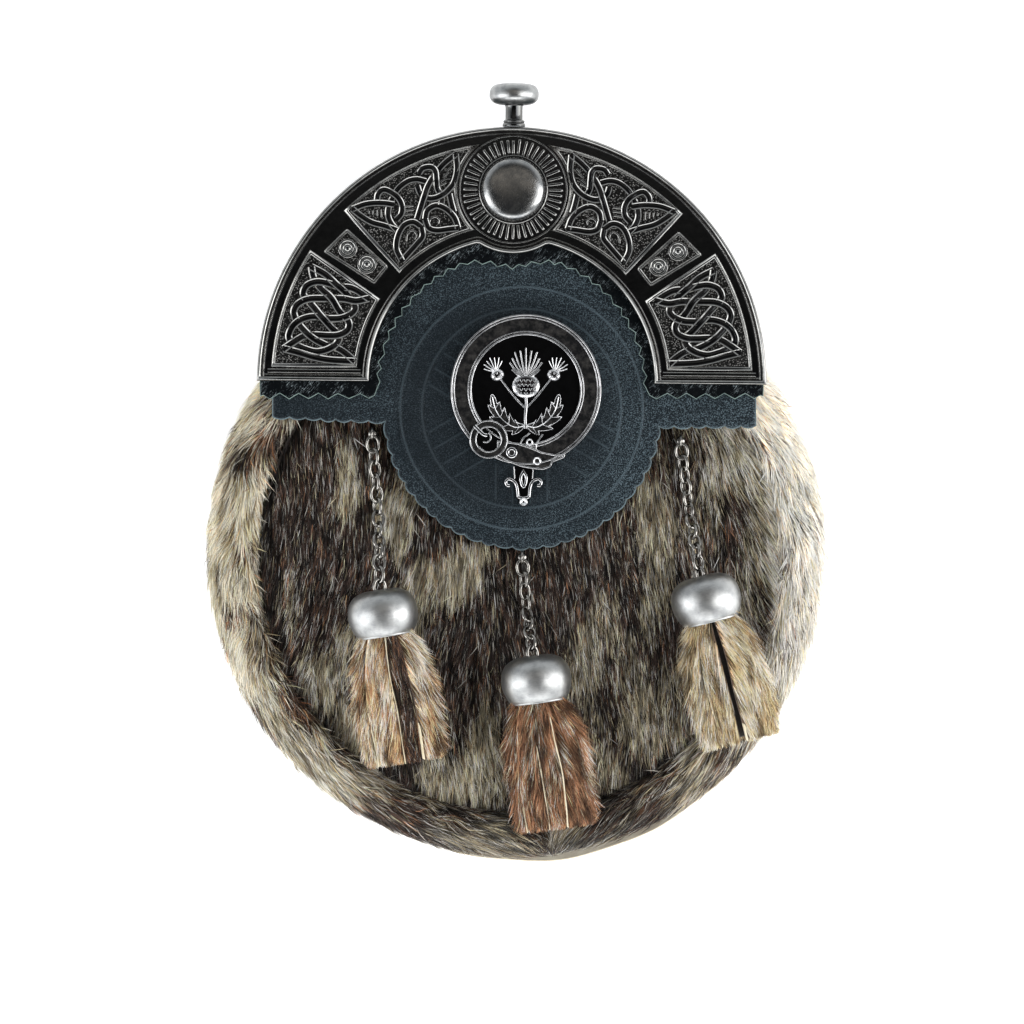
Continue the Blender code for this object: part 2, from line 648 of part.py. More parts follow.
def cantle(z_back, material):
    """The cast arch: rims, framed panels, knots, ring bosses and the ribs of the medallion."""
    face = z_back + PLATE_THICKNESS
    regions = [(arch_outline(0.0), face + RISE["rim"]), (arch_outline(RIM_WIDTH), face)]
    panels = [curl_panel_outline(), boss_panel_outline(), plait_panel_outline()]
    reliefs = [(ribbon_outline, RISE["strand"]) for ribbon_outline in
               charted(CURL_CHART, CURL_RUNS) + charted(PLAIT_CHART, PLAIT_RUNS)]
    for radius in BOSS_RADII:
        reliefs.append((circle(polar(radius, BOSS_ANGLE), 2.8, 10), RISE["boss"]))
        reliefs.append((circle(polar(radius, BOSS_ANGLE), 1.2, 6), RISE["boss_eye"]))
    for panel in panels:
        for side in (panel, mirrored(panel)):
            side = counter_clockwise(side)
            regions.append((side, face + RISE["frame"]))
            regions.append((inset(side, FRAME_WIDTH), face + RISE["panel"]))
    for outline, rise in reliefs:
        for side in (outline, mirrored(outline)):
            regions.append((side, face + rise))
    ribs = MEDALLION_RIBS
    for rib in range(ribs["count"]):
        turn = 360.0 * rib / ribs["count"]
        ends = [(x, MEDALLION_Y + y) for x, y in (polar(ribs["inner"], turn), polar(ribs["outer"], turn))]
        regions.append((ribbon(ends, ribs["width"]), face + RISE["rib"]))
    item = relief_plate("cantle", regions, z_back, material)
    item.data.transform(cantle_frame())
    return item


def cantle_frame():
    """From the cantle's own frame to the object's, in metres."""
    place = Matrix.Translation(Vector((*CANTLE_CENTRE, 0.0)) * MM)
    return place @ Matrix.Rotation(math.radians(CANTLE_TILT), 4, "Z")


def cantle_dome(z_face, material):
    """The polished dome in the middle of the medallion."""
    points, faces = turned(DOME_SECTION, 24)
    item = solid("cantle_dome", points, faces, material)
    middle = Vector((0.0, MEDALLION_Y, z_face + RISE["panel"] + GAP)) * MM
    item.data.transform(cantle_frame() @ Matrix.Translation(middle))
    return item


def knob(z_middle, material):
    """The mushroom knob on the top of the cantle, its axis along +Y."""
    points, faces = turned(KNOB_SECTION, 18)
    item = solid("knob", points, faces, material)
    foot = Vector((0.0, CANTLE_RADIUS + GAP, 0.0)) * MM
    upright = Matrix.Rotation(math.radians(-90.0), 4, "X")
    item.data.transform(cantle_frame() @ Matrix.Translation(foot + Vector((0.0, 0.0, z_middle * MM))) @ upright)
    return item


def badge(z_back, material):
    """The strap-and-buckle badge: a ring of strap, its buckle and tail, a lily tip and a thistle inside."""
    face = z_back + BADGE_PLATE

    def discs(table):
        return [(circle(disc["middle"], disc["radius"], disc["sides"]), face + disc["rise"]) for disc in table]

    regions = [(list(piece), face + BADGE_RISE["lily"]) for piece in LILY]
    regions += discs(STRAP_RING)
    regions += [(list(piece), face + BADGE_RISE["thistle"]) for piece in THISTLE]
    regions.append((list(STRAP_TAIL), face + BADGE_RISE["tail"]))
    regions += discs(STRAP_FITTINGS)
    return relief_plate("badge", regions, z_back, material)


def wire_ring(centre, radius, wire):
    """The sections of an upright ring of wire that faces along Y."""
    sides, wire_sides = 8, 5
    sections = []
    for side in range(sides):
        turn = 2.0 * math.pi * side / sides
        out = Vector((math.cos(turn), 0.0, math.sin(turn)))
        section = []
        for step in range(wire_sides):
            about = 2.0 * math.pi * step / wire_sides
            section.append(centre + out * (radius + wire * math.cos(about))
                           + Vector((0.0, wire * math.sin(about), 0.0)))
        sections.append(section)
    return sections


def merged(parts):
    """The points and faces of several shells, numbered through."""
    points, faces = [], []
    for part_points, part_faces in parts:
        start = len(points)
        points.extend(part_points)
        faces.extend(tuple(number + start for number in face) for face in part_faces)
    return points, faces


def cap_axis(tassel):
    """The direction from a cap's top to its mouth."""
    turn = math.radians(tassel["tilt"])
    return Vector((math.sin(turn), -math.cos(turn), 0.0))


def cap_middle(tassel):
    """The middle of a cap, lying on the fur."""
    x, y = tassel["cap"]
    return Vector((x, y, fur_front_height(x, y) + 2.0 * GAP + CAP_RADIUS))


def eye_middle(tassel):
    """The middle of the eye that a chain hangs from."""
    x, y = tassel["eye"]
    return Vector((x, y, fur_front_height(x, y) + GAP + EYE_RISE))


def eye(name, tassel, material):
    """An upright wire eye on a small round foot."""
    middle = eye_middle(tassel)
    first = solid("ring", *loft(wire_ring(middle, EYE_RADIUS, EYE_WIRE), wrap=True), material)
    foot = circle(middle, EYE_FOOT_RADIUS, 4)
    heights = (middle.z - EYE_RISE, middle.z - EYE_RISE + EYE_FOOT_HEIGHT)
    second = solid("foot", *loft([[(*corner, height) for corner in foot] for height in heights]), material)
    return fused(name, first, second)


def chain(name, tassel, material):
    """The outer form of a cable chain: a tube over the fur that climbs into the hole of its cap."""
    middle = eye_middle(tassel)
    start = Vector((middle.x, middle.y - CHAIN_RADIUS, 0.0))
    end = cap_middle(tassel) - cap_axis(tassel) * (CAP_HEIGHT / 2.0 - CHAIN_REACH)
    line = bpy.data.curves.new(name, "CURVE")
    line.dimensions = "3D"
    line.bevel_depth = CHAIN_RADIUS * MM
    line.bevel_resolution = 2
    line.use_fill_caps = True
    route = line.splines.new("POLY")
    route.points.add(CHAIN_STEPS)
    for step, point in enumerate(route.points):
        share = step / CHAIN_STEPS
        x, y = start.x + (end.x - start.x) * share, start.y + (end.y - start.y) * share
        ground = fur_front_height(x, y) + CHAIN_RADIUS + GAP
        climb = (share - CHAIN_CLIMB[0]) / (CHAIN_CLIMB[1] - CHAIN_CLIMB[0])
        climb = min(1.0, max(0.0, climb))
        climb = climb * climb * (3.0 - 2.0 * climb)
        point.co = (x * MM, y * MM, (ground + (end.z - ground) * climb) * MM, 1.0)
    line.materials.append(material)
    item = bpy.data.objects.new(name, line)
    bpy.context.scene.collection.objects.link(item)
    return item


def cap_matrix(tassel):
    """From a cap's own frame, +Z from its top to its mouth, to the object's."""
    axis = cap_axis(tassel)
    up = Vector((0.0, 0.0, 1.0))
    side = up.cross(axis)
    turn = Matrix((side, up, axis)).transposed().to_4x4()
    return Matrix.Translation(cap_middle(tassel) - axis * CAP_HEIGHT / 2.0) @ turn


def cap(name, tassel, material):
    """A bell cap: a hollow rounded cup with a hole in its top for the chain."""
    points, faces = turned(CAP_SECTION, 14, closed_section=True)
    return solid(name, placed(points, cap_matrix(tassel)), faces, material)


def tassel_strips(name, tassel, material):
    """Fur strips that hang from a plug inside the cap and lie on the fur."""
    matrix = cap_matrix(tassel)
    plug, plug_faces = turned(PLUG_SECTION, 8)
    first = solid("plug", placed(plug, matrix), plug_faces, material)
    mouth = CAP_HEIGHT - 1.6
    ground = GUSSET_FRONT + 1.4 - cap_middle(tassel).z
    rows = 3
    shells = {0: [], 1: []}
    for index, strip in enumerate(STRIPS):
        turn = math.radians(strip["turn"])
        head = Vector((4.9 * math.cos(turn), 4.9 * math.sin(turn), mouth))
        foot = Vector((strip["foot_x"], ground + strip["foot_z"], CAP_HEIGHT + STRIP_LENGTH))
        roll_head, roll_foot = turn - math.pi / 2.0, 0.0
        if roll_head > math.pi / 2.0:
            roll_head -= math.pi
        sections = []
        for row in range(rows):
            share = row / (rows - 1)
            sag = math.sin(share * math.pi / 2.0)
            place = Vector((head.x + (foot.x - head.x) * share, head.y + (foot.y - head.y) * sag,
                            head.z + (foot.z - head.z) * share))
            roll = roll_head + (roll_foot - roll_head) * share
            half_width = 2.0 + 1.0 * share
            half_depth = 1.0 + 0.15 * share
            across = Vector((math.cos(roll), math.sin(roll), 0.0))
            through = Vector((-math.sin(roll), math.cos(roll), 0.0))
            sections.append([place + across * half_width * a + through * half_depth * b
                             for a, b in ((-1, -1), (1, -1), (1, 1), (-1, 1))])
        points, faces = loft(sections)
        shells[index % 2].append((placed(points, matrix), faces))
    for index in (0, 1):
        strips = solid("strips", *merged(shells[index]), material)
        first = fused(name, first, strips)
    return first


def clear_scene():
    """Removes whatever objects the file opened with."""
    for item in list(bpy.data.objects):
        bpy.data.objects.remove(item)


def build():
    """Makes every sub-part."""
    clear_scene()
    hide = finish("pale_hide", (0.62, 0.53, 0.42), 0.75)
    gusset_fur = finish("gusset_fur", (0.33, 0.27, 0.20), 0.9)
    front_fur = finish("front_fur", (0.16, 0.12, 0.09), 0.9)
    black_leather = finish("black_leather", (0.02, 0.022, 0.027), 0.55)
    creased_leather = finish("creased_leather", (0.015, 0.016, 0.018), 0.45)
    cast = finish("blackened_metal", (0.10, 0.10, 0.10), 0.3, 1.0)
    pewter = finish("brushed_pewter", (0.42, 0.42, 0.42), 0.35, 1.0)
    wire = finish("chain_metal", (0.35, 0.35, 0.34), 0.3, 1.0)
    strip_fur = finish("strip_fur", (0.42, 0.28, 0.17), 0.9)

    back_panel(hide)
    fur_gusset(gusset_fur)
    fur_front_panel(front_fur)
    lid_band(black_leather)
    flap(black_leather)
    backing_z = FLAP_Z + FLAP_THICKNESS + GAP
    cantle_backing(backing_z, creased_leather)
    cantle_z = backing_z + BACKING_THICKNESS + GAP
    cantle(cantle_z, cast)
    cantle_dome(cantle_z + PLATE_THICKNESS, pewter)
    knob(cantle_z + PLATE_THICKNESS / 2.0 - 1.0, pewter)
    badge(backing_z, cast)
    for place, tassel in TASSELS.items():
        eye(f"eye_{place}", tassel, wire)
        chain(f"chain_{place}", tassel, wire)
        cap(f"cap_{place}", tassel, pewter)
        tassel_strips(f"tassel_{place}", tassel, strip_fur)


build()
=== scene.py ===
"""The looks of a fur sporran pouch with a cast cantle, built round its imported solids.

Lengths are in millimetres and angles in degrees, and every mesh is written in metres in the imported
model's frame: +X to the right, +Y up to the knob and +Z out of the front, which faces up.
"""

import logging
import math
from dataclasses import dataclass, field, fields
from enum import Enum
from typing import Callable, Sequence

import bpy
import numpy as np
from bpy.types import Material, Node, NodeSocket, Object
from mathutils import Matrix, Vector
from mathutils.geometry import delaunay_2d_cdt

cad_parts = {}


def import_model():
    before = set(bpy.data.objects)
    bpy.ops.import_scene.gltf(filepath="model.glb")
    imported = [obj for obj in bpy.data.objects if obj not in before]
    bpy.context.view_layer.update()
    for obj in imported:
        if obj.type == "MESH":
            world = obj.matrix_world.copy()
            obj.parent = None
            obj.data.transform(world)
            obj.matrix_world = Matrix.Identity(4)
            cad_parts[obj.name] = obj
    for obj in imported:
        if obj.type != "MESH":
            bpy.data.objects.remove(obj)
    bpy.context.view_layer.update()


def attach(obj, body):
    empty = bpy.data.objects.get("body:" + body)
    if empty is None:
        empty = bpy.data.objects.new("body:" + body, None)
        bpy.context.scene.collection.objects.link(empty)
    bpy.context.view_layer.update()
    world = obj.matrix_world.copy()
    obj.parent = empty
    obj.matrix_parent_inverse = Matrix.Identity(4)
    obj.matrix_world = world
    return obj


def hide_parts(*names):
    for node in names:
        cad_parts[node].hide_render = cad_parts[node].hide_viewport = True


Array = np.ndarray
Pair = tuple[float, float]
Triple = tuple[float, float, float]
Places = tuple[Pair, ...]
Rows = Sequence[Sequence[float]]
Chance = np.random.Generator

MM = 0.001
FULL_TURN = 2.0 * math.pi
BODY = "root"
MADE: dict[str, Material] = {}  # the finishes by name, once they are made

log = logging.getLogger("sporran")


# ---------------------------------------------------------------------------------------------- shapes


def unit(rows: Array) -> Array:
    """Scales each row to length 1."""
    return rows / np.maximum(np.linalg.norm(rows, axis=-1, keepdims=True), 1e-9)


def dots(first: Array, second: Array) -> Array:
    """The product of each pair of rows, in a column."""
    return np.sum(first * second, axis=1, keepdims=True)


def stacked(*columns: Array | float) -> Array:
    """Coordinates put side by side, each spread to the shape of the others."""
    return np.stack(np.broadcast_arrays(*columns), axis=-1)


def ramp(value: Array, start: float, width: float) -> Array:
    """Climbs from 0 at the start to 1 a width further on."""
    return np.clip((value - start) / width, 0.0, 1.0)


def polar(radius: float, angle: float, centre: Sequence[float] = (0.0, 0.0)) -> Array:
    """A place in the plane."""
    turn = math.radians(angle)
    return np.array((centre[0] + radius * math.cos(turn), centre[1] + radius * math.sin(turn)))


def arc(centre: Sequence[float], radius: float, start: float, end: float, steps: int) -> Array:
    """Places along an arc, both ends included."""
    turns = np.radians(np.linspace(start, end, steps + 1))
    return stacked(centre[0] + radius * np.cos(turns), centre[1] + radius * np.sin(turns))


def circle(centre: Sequence[float], radius: float, steps: int) -> Array:
    """Places round a circle."""
    return arc(centre, radius, 0.0, 360.0, steps)[:-1]


def travelled(route: Array) -> Array:
    """How far along a route each of its places lies."""
    return np.concatenate(((0.0,), np.cumsum(np.linalg.norm(np.diff(route, axis=0), axis=1))))


def sampled(route: Array, lengths: Array, wanted: Rows | Array) -> Array:
    """The places at the wanted lengths along a route."""
    return stacked(*(np.interp(wanted, lengths, column) for column in route.T))


def evenly(route: Array, step: float, closed: bool = False) -> Array:
    """The same route with its places evenly spaced.

    Args:
        route: rows of places.
        step: the wanted spacing.
        closed: whether the last place joins the first.

    Returns:
        The new places; a closed route doesn't repeat its first.
    """
    route = np.vstack((route, route[:1])) if closed else route
    lengths = travelled(route)
    places = sampled(route, lengths, np.linspace(0.0, lengths[-1], max(2, round(lengths[-1] / step)) + 1))
    return places[:-1] if closed else places


def smooth_run(points: Rows, spans: int = 8) -> Array:
    """A smooth curve through a few places, by cubic pieces that pass through each.

    Args:
        points: the places.
        spans: the number of spans between neighbours.

    Returns:
        Rows of places along the curve.
    """
    rows = np.asarray(points, float)
    padded = np.vstack((2.0 * rows[0] - rows[1], rows, 2.0 * rows[-1] - rows[-2]))
    share = np.linspace(0.0, 1.0, spans, endpoint=False)[:, None]
    pieces = []
    for before, here, after, beyond in zip(padded, padded[1:], padded[2:], padded[3:]):
        pieces.append(0.5 * (2.0 * here + (after - before) * share
                             + (2.0 * before - 5.0 * here + 4.0 * after - beyond) * share ** 2
                             + (3.0 * here - before - 3.0 * after + beyond) * share ** 3))
    return np.vstack((*pieces, rows[-1:]))


def left_of(rows: Array) -> Array:
    """Vectors turned to their left."""
    return stacked(-rows[:, 1], rows[:, 0])


def outward_miters(route: Array, closed: bool) -> Array:
    """The vector at each place that moves both neighbouring sides to their left by 1.

    Args:
        route: rows of (x, y).
        closed: whether the last place joins the first.

    Returns:
        One vector a place.
    """
    before = unit(route - np.roll(route, 1, axis=0))
    after = unit(np.roll(route, -1, axis=0) - route)
    if not closed:
        before[0], after[-1] = after[0], before[-1]
    left_before, left_after = left_of(before), left_of(after)
    return (left_before + left_after) / np.maximum(1.0 + dots(left_before, left_after), 0.35)


def headings(route: Array) -> Array:
    """The direction of a route at each of its places."""
    return unit(np.gradient(route, axis=0))


def around(steps: int) -> Array:
    """Evenly spaced turns round a full circle."""
    return np.linspace(0.0, FULL_TURN, steps, endpoint=False)


def anticlockwise(outline: Array) -> Array:
    """The outline, turned round if it runs clockwise."""
    after = np.roll(outline, -1, axis=0)
    return outline if np.sum(outline[:, 0] * after[:, 1] - after[:, 0] * outline[:, 1]) > 0.0 else outline[::-1]


def inset(outline: Array, distance: float) -> Array:
    """The outline with every side moved inwards."""
    return outline + outward_miters(outline, True) * distance


def moved(points: Array, matrix: Matrix) -> Array:
    """Places moved by a matrix."""
    table = np.array(matrix)
    return points @ table[:3, :3].T + table[:3, 3]


def tied(item: Object, finishes: Sequence[str], nodes: Sequence[str] = ()) -> None:
    """Dresses an object, shows it and ties it to the frame.

    Args:
        item: the object.
        finishes: its finishes, in slot order.
        nodes: the CAD nodes that it stands for.
    """
    for finish in finishes:
        item.data.materials.append(MADE[finish])
    bpy.context.scene.collection.objects.link(item)
    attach(item, BODY)
    if nodes:
        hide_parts(*nodes)
    item.data.update()
    log.info("%s: %d faces", item.name, len(item.data.polygons))


@dataclass
class Mould:
    """Gathers the vertices and faces of one piece, and casts them into an object."""

    points: list[Array] = field(default_factory=list)
    faces: list[tuple[int, ...]] = field(default_factory=list)
    slots: list[int] = field(default_factory=list)

    def add(self, points: Array, faces: Sequence[Sequence[int]], slot: int = 0) -> None:
        """Adds a shell.

        Args:
            points: rows of (x, y, z).
            faces: vertex numbers within this shell.
            slot: the material slot of the faces.
        """
        start = sum(map(len, self.points))
        self.points.append(np.asarray(points, float))
        self.faces.extend(tuple(number + start for number in face) for face in faces)
        self.slots.extend([slot] * len(faces))

    def sheet(self, grid: Array, slot: int = 0, wrap_rows: bool = False, wrap_columns: bool = False,
              caps: bool = False) -> None:
        """Adds a skin over a grid of places.

        Args:
            grid: places by row and column, seen from outside with rows going up and columns to the left.
            slot: the material slot.
            wrap_rows: whether the last row joins the first.
            wrap_columns: whether the last column joins the first.
            caps: whether the first and last rows are filled.
        """
        rows, columns = grid.shape[:2]
        here = np.pad(np.arange(rows * columns).reshape(rows, columns),
                      ((0, int(wrap_rows)), (0, int(wrap_columns))), "wrap")
        quads = stacked(here[:-1, :-1], here[:-1, 1:], here[1:, 1:], here[1:, :-1]).reshape(-1, 4)
        faces = [tuple(quad) for quad in quads.tolist()]
        if caps:
            faces.append(tuple(reversed(range(columns))))
            faces.append(tuple(range((rows - 1) * columns, rows * columns)))
        self.add(grid.reshape(-1, 3), faces, slot)

    def wall(self, rings: Sequence[tuple[Array, float | Array]], slot: int = 0) -> None:
        """Adds a wall through closed outlines, each with its height or with one height a place."""
        self.sheet(np.stack([stacked(*ring.T, height) for ring, height in rings]), slot, wrap_columns=True)

    def plane(self, outlines: Sequence[Array], height: float | Callable[[float, float], float],
              slot: int = 0, facing_up: bool = True, holes: int = 0) -> None:
        """Adds a flat filling of an outline.

        Args:
            outlines: the outline, and then its holes.
            height: the height, or a function that gives it.
            slot: the material slot.
            facing_up: whether the filling faces +Z.
            holes: how many of the outlines are holes.
        """
        points, loops = [], []
        for number, outline in enumerate(outlines):
            loop = anticlockwise(np.asarray(outline))
            loop = loop[::-1] if number >= len(outlines) - holes else loop
            loops.append(list(range(len(points), len(points) + len(loop))))
            points.extend(Vector(place) for place in loop.tolist())
        found = delaunay_2d_cdt(points, [], loops, 2 if holes else 1, 1e-6)
        corners = np.array([(*place, height(*place) if callable(height) else height) for place in found[0]])
        self.add(corners, [tuple(face) if facing_up else tuple(reversed(face)) for face in found[2]], slot)

    def bead(self, route: Array, profile: Rows, height: float | Array, closed: bool = False) -> None:
        """Adds a moulding swept along a flat route.

        Args:
            route: rows of (x, y).
            profile: rows of (distance to the left of the route, height above it), from right to left.
            height: the height of the route, or one height a place.
            closed: whether the route joins up.
        """
        section = np.asarray(profile, float)
        flat = route[:, None, :] + outward_miters(route, closed)[:, None, :] * section[None, :, :1]
        grid = stacked(flat[..., 0], flat[..., 1], np.reshape(height, (-1, 1)) + section[:, 1])
        self.sheet(grid[::-1], wrap_rows=closed, caps=not closed)

    def turned(self, section: Rows, sides: int, matrix: Matrix, slot: int = 0, closed: bool = False) -> None:
        """Adds a piece turned about +Z.

        Args:
            section: rows of (radius, height), running from the top outwards and down.
            sides: the number of sides.
            matrix: from the piece's own frame to the object's, in millimetres.
            slot: the material slot.
            closed: whether the last row of the section joins the first.
        """
        rows = np.asarray(section, float)
        radii, turns = np.maximum(rows[:, :1], 0.004), around(sides)
        grid = moved(stacked(radii * np.cos(turns), radii * np.sin(turns), rows[:, 1:]), matrix)
        self.sheet(grid[::-1], slot, wrap_rows=closed, wrap_columns=True, caps=not closed)

    def cast(self, name: str, finishes: Sequence[str], slot_name: str, nodes: Sequence[str] = (),
             sharp: float | None = 40.0, matrix: Matrix | None = None) -> None:
        """Makes the object and ties it to the frame.

        Args:
            name: the piece's name.
            finishes: its finishes, in slot order.
            slot_name: not used.
            nodes: the CAD nodes that it stands for.
            sharp: the angle past which an edge stays sharp, or None for none.
            matrix: from the points' frame to the object's, in metres.
        """
        mesh = bpy.data.meshes.new(name)
        mesh.from_pydata(np.vstack(self.points) * MM, [], self.faces)
        mesh.shade_smooth()
        if sharp is not None:
            mesh.set_sharp_from_angle(angle=math.radians(sharp))
        mesh.polygons.foreach_set("material_index", np.array(self.slots, np.int32))
        if matrix is not None:
            mesh.transform(matrix)
        tied(bpy.data.objects.new(name, mesh), finishes, nodes)


class Clumps:
    """Seeded smooth noise over the plane, from 0 to 1."""

    def __init__(self, seed: int, cells: int = 64) -> None:
        """Fills the table of random corners."""
        self.table = np.random.default_rng(seed).random((cells, cells))
        self.cells = cells

    def at(self, x: Array, y: Array) -> Array:
        """The noise at places counted in cells.

        Args:
            x: first coordinates.
            y: second coordinates.

        Returns:
            One value a place.
        """
        left, low = np.floor(x).astype(int), np.floor(y).astype(int)
        across, up = (part * part * (3.0 - 2.0 * part) for part in (x - left, y - low))
        right, high = (left + 1) % self.cells, (low + 1) % self.cells
        left, low = left % self.cells, low % self.cells
        lower = self.table[left, low] * (1.0 - across) + self.table[right, low] * across
        upper = self.table[left, high] * (1.0 - across) + self.table[right, high] * across
        return lower * (1.0 - up) + upper * up


# -------------------------------------------------------------------------------------------- finishes


class Recipe:
    """A short way to wire a material's nodes."""

    def __init__(self, name: str) -> None:
        """Starts the material.

        Args:
            name: its name.
        """
        self.material = MADE[name] = bpy.data.materials.new(name)
        self.material.use_nodes = True
        self.tree = self.material.node_tree
        self.place = self.node("TexCoord").outputs["Object"]

    @staticmethod
    def put(socket: NodeSocket, value: object) -> None:
        """Links or sets a socket.

        Args:
            socket: the input.
            value: another socket, a number or a tuple.
        """
        if isinstance(value, NodeSocket):
            socket.id_data.links.new(value, socket)
        else:
            socket.default_value = (*value, 1.0) if socket.type == "RGBA" else value

    def node(self, kind: str, *values: object, **settings: object) -> Node:
        """Adds a node of a kind and sets it up."""
        return self.filled(self.tree.nodes.new(f"ShaderNode{kind}"), *values, **settings)

    def filled(self, item: Node, *values: object, **settings: object) -> Node:
        """Sets up a node.

        Args:
            item: the node.
            *values: what goes into its first sockets.
            **settings: its properties, then other sockets with a capital and underscores for spaces.

        Returns:
            The same node.
        """
        for name, value in settings.items():
            if name[0].isupper():
                self.put(item.inputs[name.replace("_", " ")], value)
            else:
                setattr(item, name, value)
        for socket, value in zip(item.inputs, values):
            self.put(socket, value)
        return item

    def along(self, axis: str) -> NodeSocket:
        """One of the object's coordinates."""
        return self.node("SeparateXYZ", self.place).outputs[axis]

    def stretched(self, scale: Triple, turn: float = 0.0) -> NodeSocket:
        """The object's coordinates, which draw a pattern out along axes turned about +Z."""
        return self.node("Mapping", vector_type="TEXTURE", Vector=self.place, Scale=scale,
                         Rotation=(0.0, 0.0, math.radians(turn))).outputs["Vector"]

    def noise(self, grain: float, detail: float = 3.0, vector: NodeSocket | None = None,
              roughness: float = 0.5) -> NodeSocket:
        """Soft noise from 0 to 1, with spots of a size in millimetres and finer layers."""
        return self.node("TexNoise", Scale=1.0 / (grain * MM), Detail=detail, Roughness=roughness,
                         Vector=vector or self.place).outputs["Fac"]

    def cells(self, grain: float, feature: str) -> NodeSocket:
        """The distance across cells of a size in millimetres."""
        return self.node("TexVoronoi", feature=feature, Scale=1.0 / (grain * MM),
                         Vector=self.place).outputs["Distance"]

    def span(self, value: NodeSocket, low: float, high: float, start: float = 0.0,
             end: float = 1.0) -> NodeSocket:
        """A value taken from low and high to start and end, and held there."""
        return self.node("MapRange", value, low, high, start, end).outputs["Result"]

    def blend(self, share: object, first: object, second: object) -> NodeSocket:
        """A mix of two colours.

        Args:
            share: how much of the second there is.
            first: the first colour.
            second: the second colour.

        Returns:
            The mixed colour.
        """
        item = self.node("Mix", share, data_type="RGBA")
        self.put(item.inputs[6], first)
        self.put(item.inputs[7], second)
        return item.outputs[2]

    def sum(self, first: object, second: object, kind: str = "ADD") -> NodeSocket:
        """Two numbers combined."""
        return self.node("Math", first, second, operation=kind).outputs[0]

    def bumped(self, height: NodeSocket, depth: float, normal: NodeSocket | None = None) -> NodeSocket:
        """A normal bent by a height pattern of a depth in millimetres."""
        return self.node("Bump", Height=height, Distance=depth * MM, Strength=1.0,
                         **({"Normal": normal} if normal else {})).outputs["Normal"]

    def done(self, **sockets: object) -> None:
        """Sets the shader's sockets."""
        self.filled(self.tree.nodes["Principled BSDF"], **sockets)


@dataclass(frozen=True)
class HairFinish:
    """Hair that takes its colour from each strand."""

    name: str = "hair"
    roughness: float = 0.42
    specular: float = 0.2

    def make(self) -> None:
        """Builds the material."""
        recipe = Recipe(self.name)
        colour = recipe.node("Attribute", attribute_name="Hair").outputs["Color"]
        recipe.done(Base_Color=colour, Roughness=self.roughness, Specular_IOR_Level=self.specular)


@dataclass(frozen=True)
class HideFinish:
    """Skin side or undercoat of a hide, mottled."""

    name: str
    light: Triple
    dark: Triple
    stain: Triple | None = None

    def make(self) -> None:
        """Builds the material."""
        recipe = Recipe(self.name)
        colour = recipe.blend(recipe.span(recipe.noise(6.0, 5.0), 0.35, 0.68), self.light, self.dark)
        if self.stain is not None:
            spots = recipe.noise(9.0, 6.0, recipe.stretched((1.0, 0.45, 1.0)), 0.62)
            colour = recipe.blend(recipe.span(spots, 0.64, 0.7), colour, self.stain)
        nap = recipe.noise(0.6, 4.0, roughness=0.65)
        recipe.done(Base_Color=colour, Roughness=recipe.span(nap, 0.3, 0.7, 0.72, 0.9),
                    Normal=recipe.bumped(nap, 0.25), Sheen_Weight=0.25, Sheen_Roughness=0.5)


@dataclass(frozen=True)
class LeatherFinish:
    """Dyed leather with a fine pebbled grain; its lighter colour paints both wear and sheen, as flecks on the grain
    and highlights along creases.
    """

    name: str
    colour: Triple
    worn: Triple
    ridge: Pair | None = None
    speckle: float = 1.0
    creases: float = 0.0
    specular: float = 0.16
    darker_disc: tuple[Triple, float] | None = None
    speckle_left_right: Pair = (1.0, 1.0)

    def make(self) -> None:
        """Builds the material."""
        recipe, depth = Recipe(self.name), 0.1
        pebbles = recipe.cells(0.75, "SMOOTH_F1")
        grains, cloud = recipe.noise(0.3, 1.0, roughness=0.7), recipe.noise(14.0, 4.0)
        # The light speckle is partly grain and partly painted sheen: flecks where pebbles of the grain would catch
        # the light.
        speckle = recipe.sum(recipe.span(grains, 0.49, 0.69), recipe.span(cloud, 0.3, 0.7, 0.62, 1.0), "MULTIPLY")
        # The speckle's strength changes from left to right across the piece.
        speckle_ramp = recipe.span(recipe.along("X"), -60.0 * MM, 60.0 * MM, *self.speckle_left_right)
        speckle = recipe.sum(speckle, speckle_ramp, "MULTIPLY")
        colour = recipe.blend(recipe.sum(speckle, self.speckle, "MULTIPLY"), self.colour, self.worn)
        normal = recipe.bumped(grains, depth, recipe.bumped(pebbles, depth))
        roughness = recipe.span(cloud, 0.3, 0.7, 0.36, 0.46)
        if self.ridge is not None:
            raised = recipe.span(recipe.along("Z"), self.ridge[0] * MM, self.ridge[1] * MM)
            colour = recipe.blend(recipe.sum(raised, 0.3, "MULTIPLY"), colour, self.worn)
        if self.darker_disc is not None:
            # Within a disc the colour goes back towards the plain dark colour, fading out near its rim.
            middle, radius = self.darker_disc
            away = recipe.node("VectorMath", recipe.place, tuple(part * MM for part in middle),
                               operation="DISTANCE")
            disc_share = recipe.span(away.outputs["Value"], (radius - 7.0) * MM, (radius + 1.0) * MM, 0.6, 0.0)
            colour = recipe.blend(disc_share, colour, self.colour)
        if self.creases:
            # Painted highlight: thin, broken lines along the crease ridges are blended towards the light colour, as
            # light caught on the creases; the bump gives the creases their relief.
            folds = recipe.noise(1.3, 1.6, recipe.stretched((0.22, 2.8, 1.0), -40.0), 0.5)
            ridges = recipe.sum(recipe.sum(folds, 0.5, "SUBTRACT"), 0.0, "ABSOLUTE")
            sharp = recipe.span(ridges, 0.004, 0.022, 1.0, 0.0)
            crease_highlight = recipe.span(recipe.noise(4.5, 5.0, roughness=0.75), 0.47, 0.62)
            crease_highlight = recipe.sum(sharp, crease_highlight, "MULTIPLY")
            normal = recipe.bumped(folds, self.creases, normal)
            colour = recipe.blend(crease_highlight, colour, self.worn)
        recipe.done(Base_Color=colour, Roughness=roughness, Normal=normal, Specular_IOR_Level=self.specular)


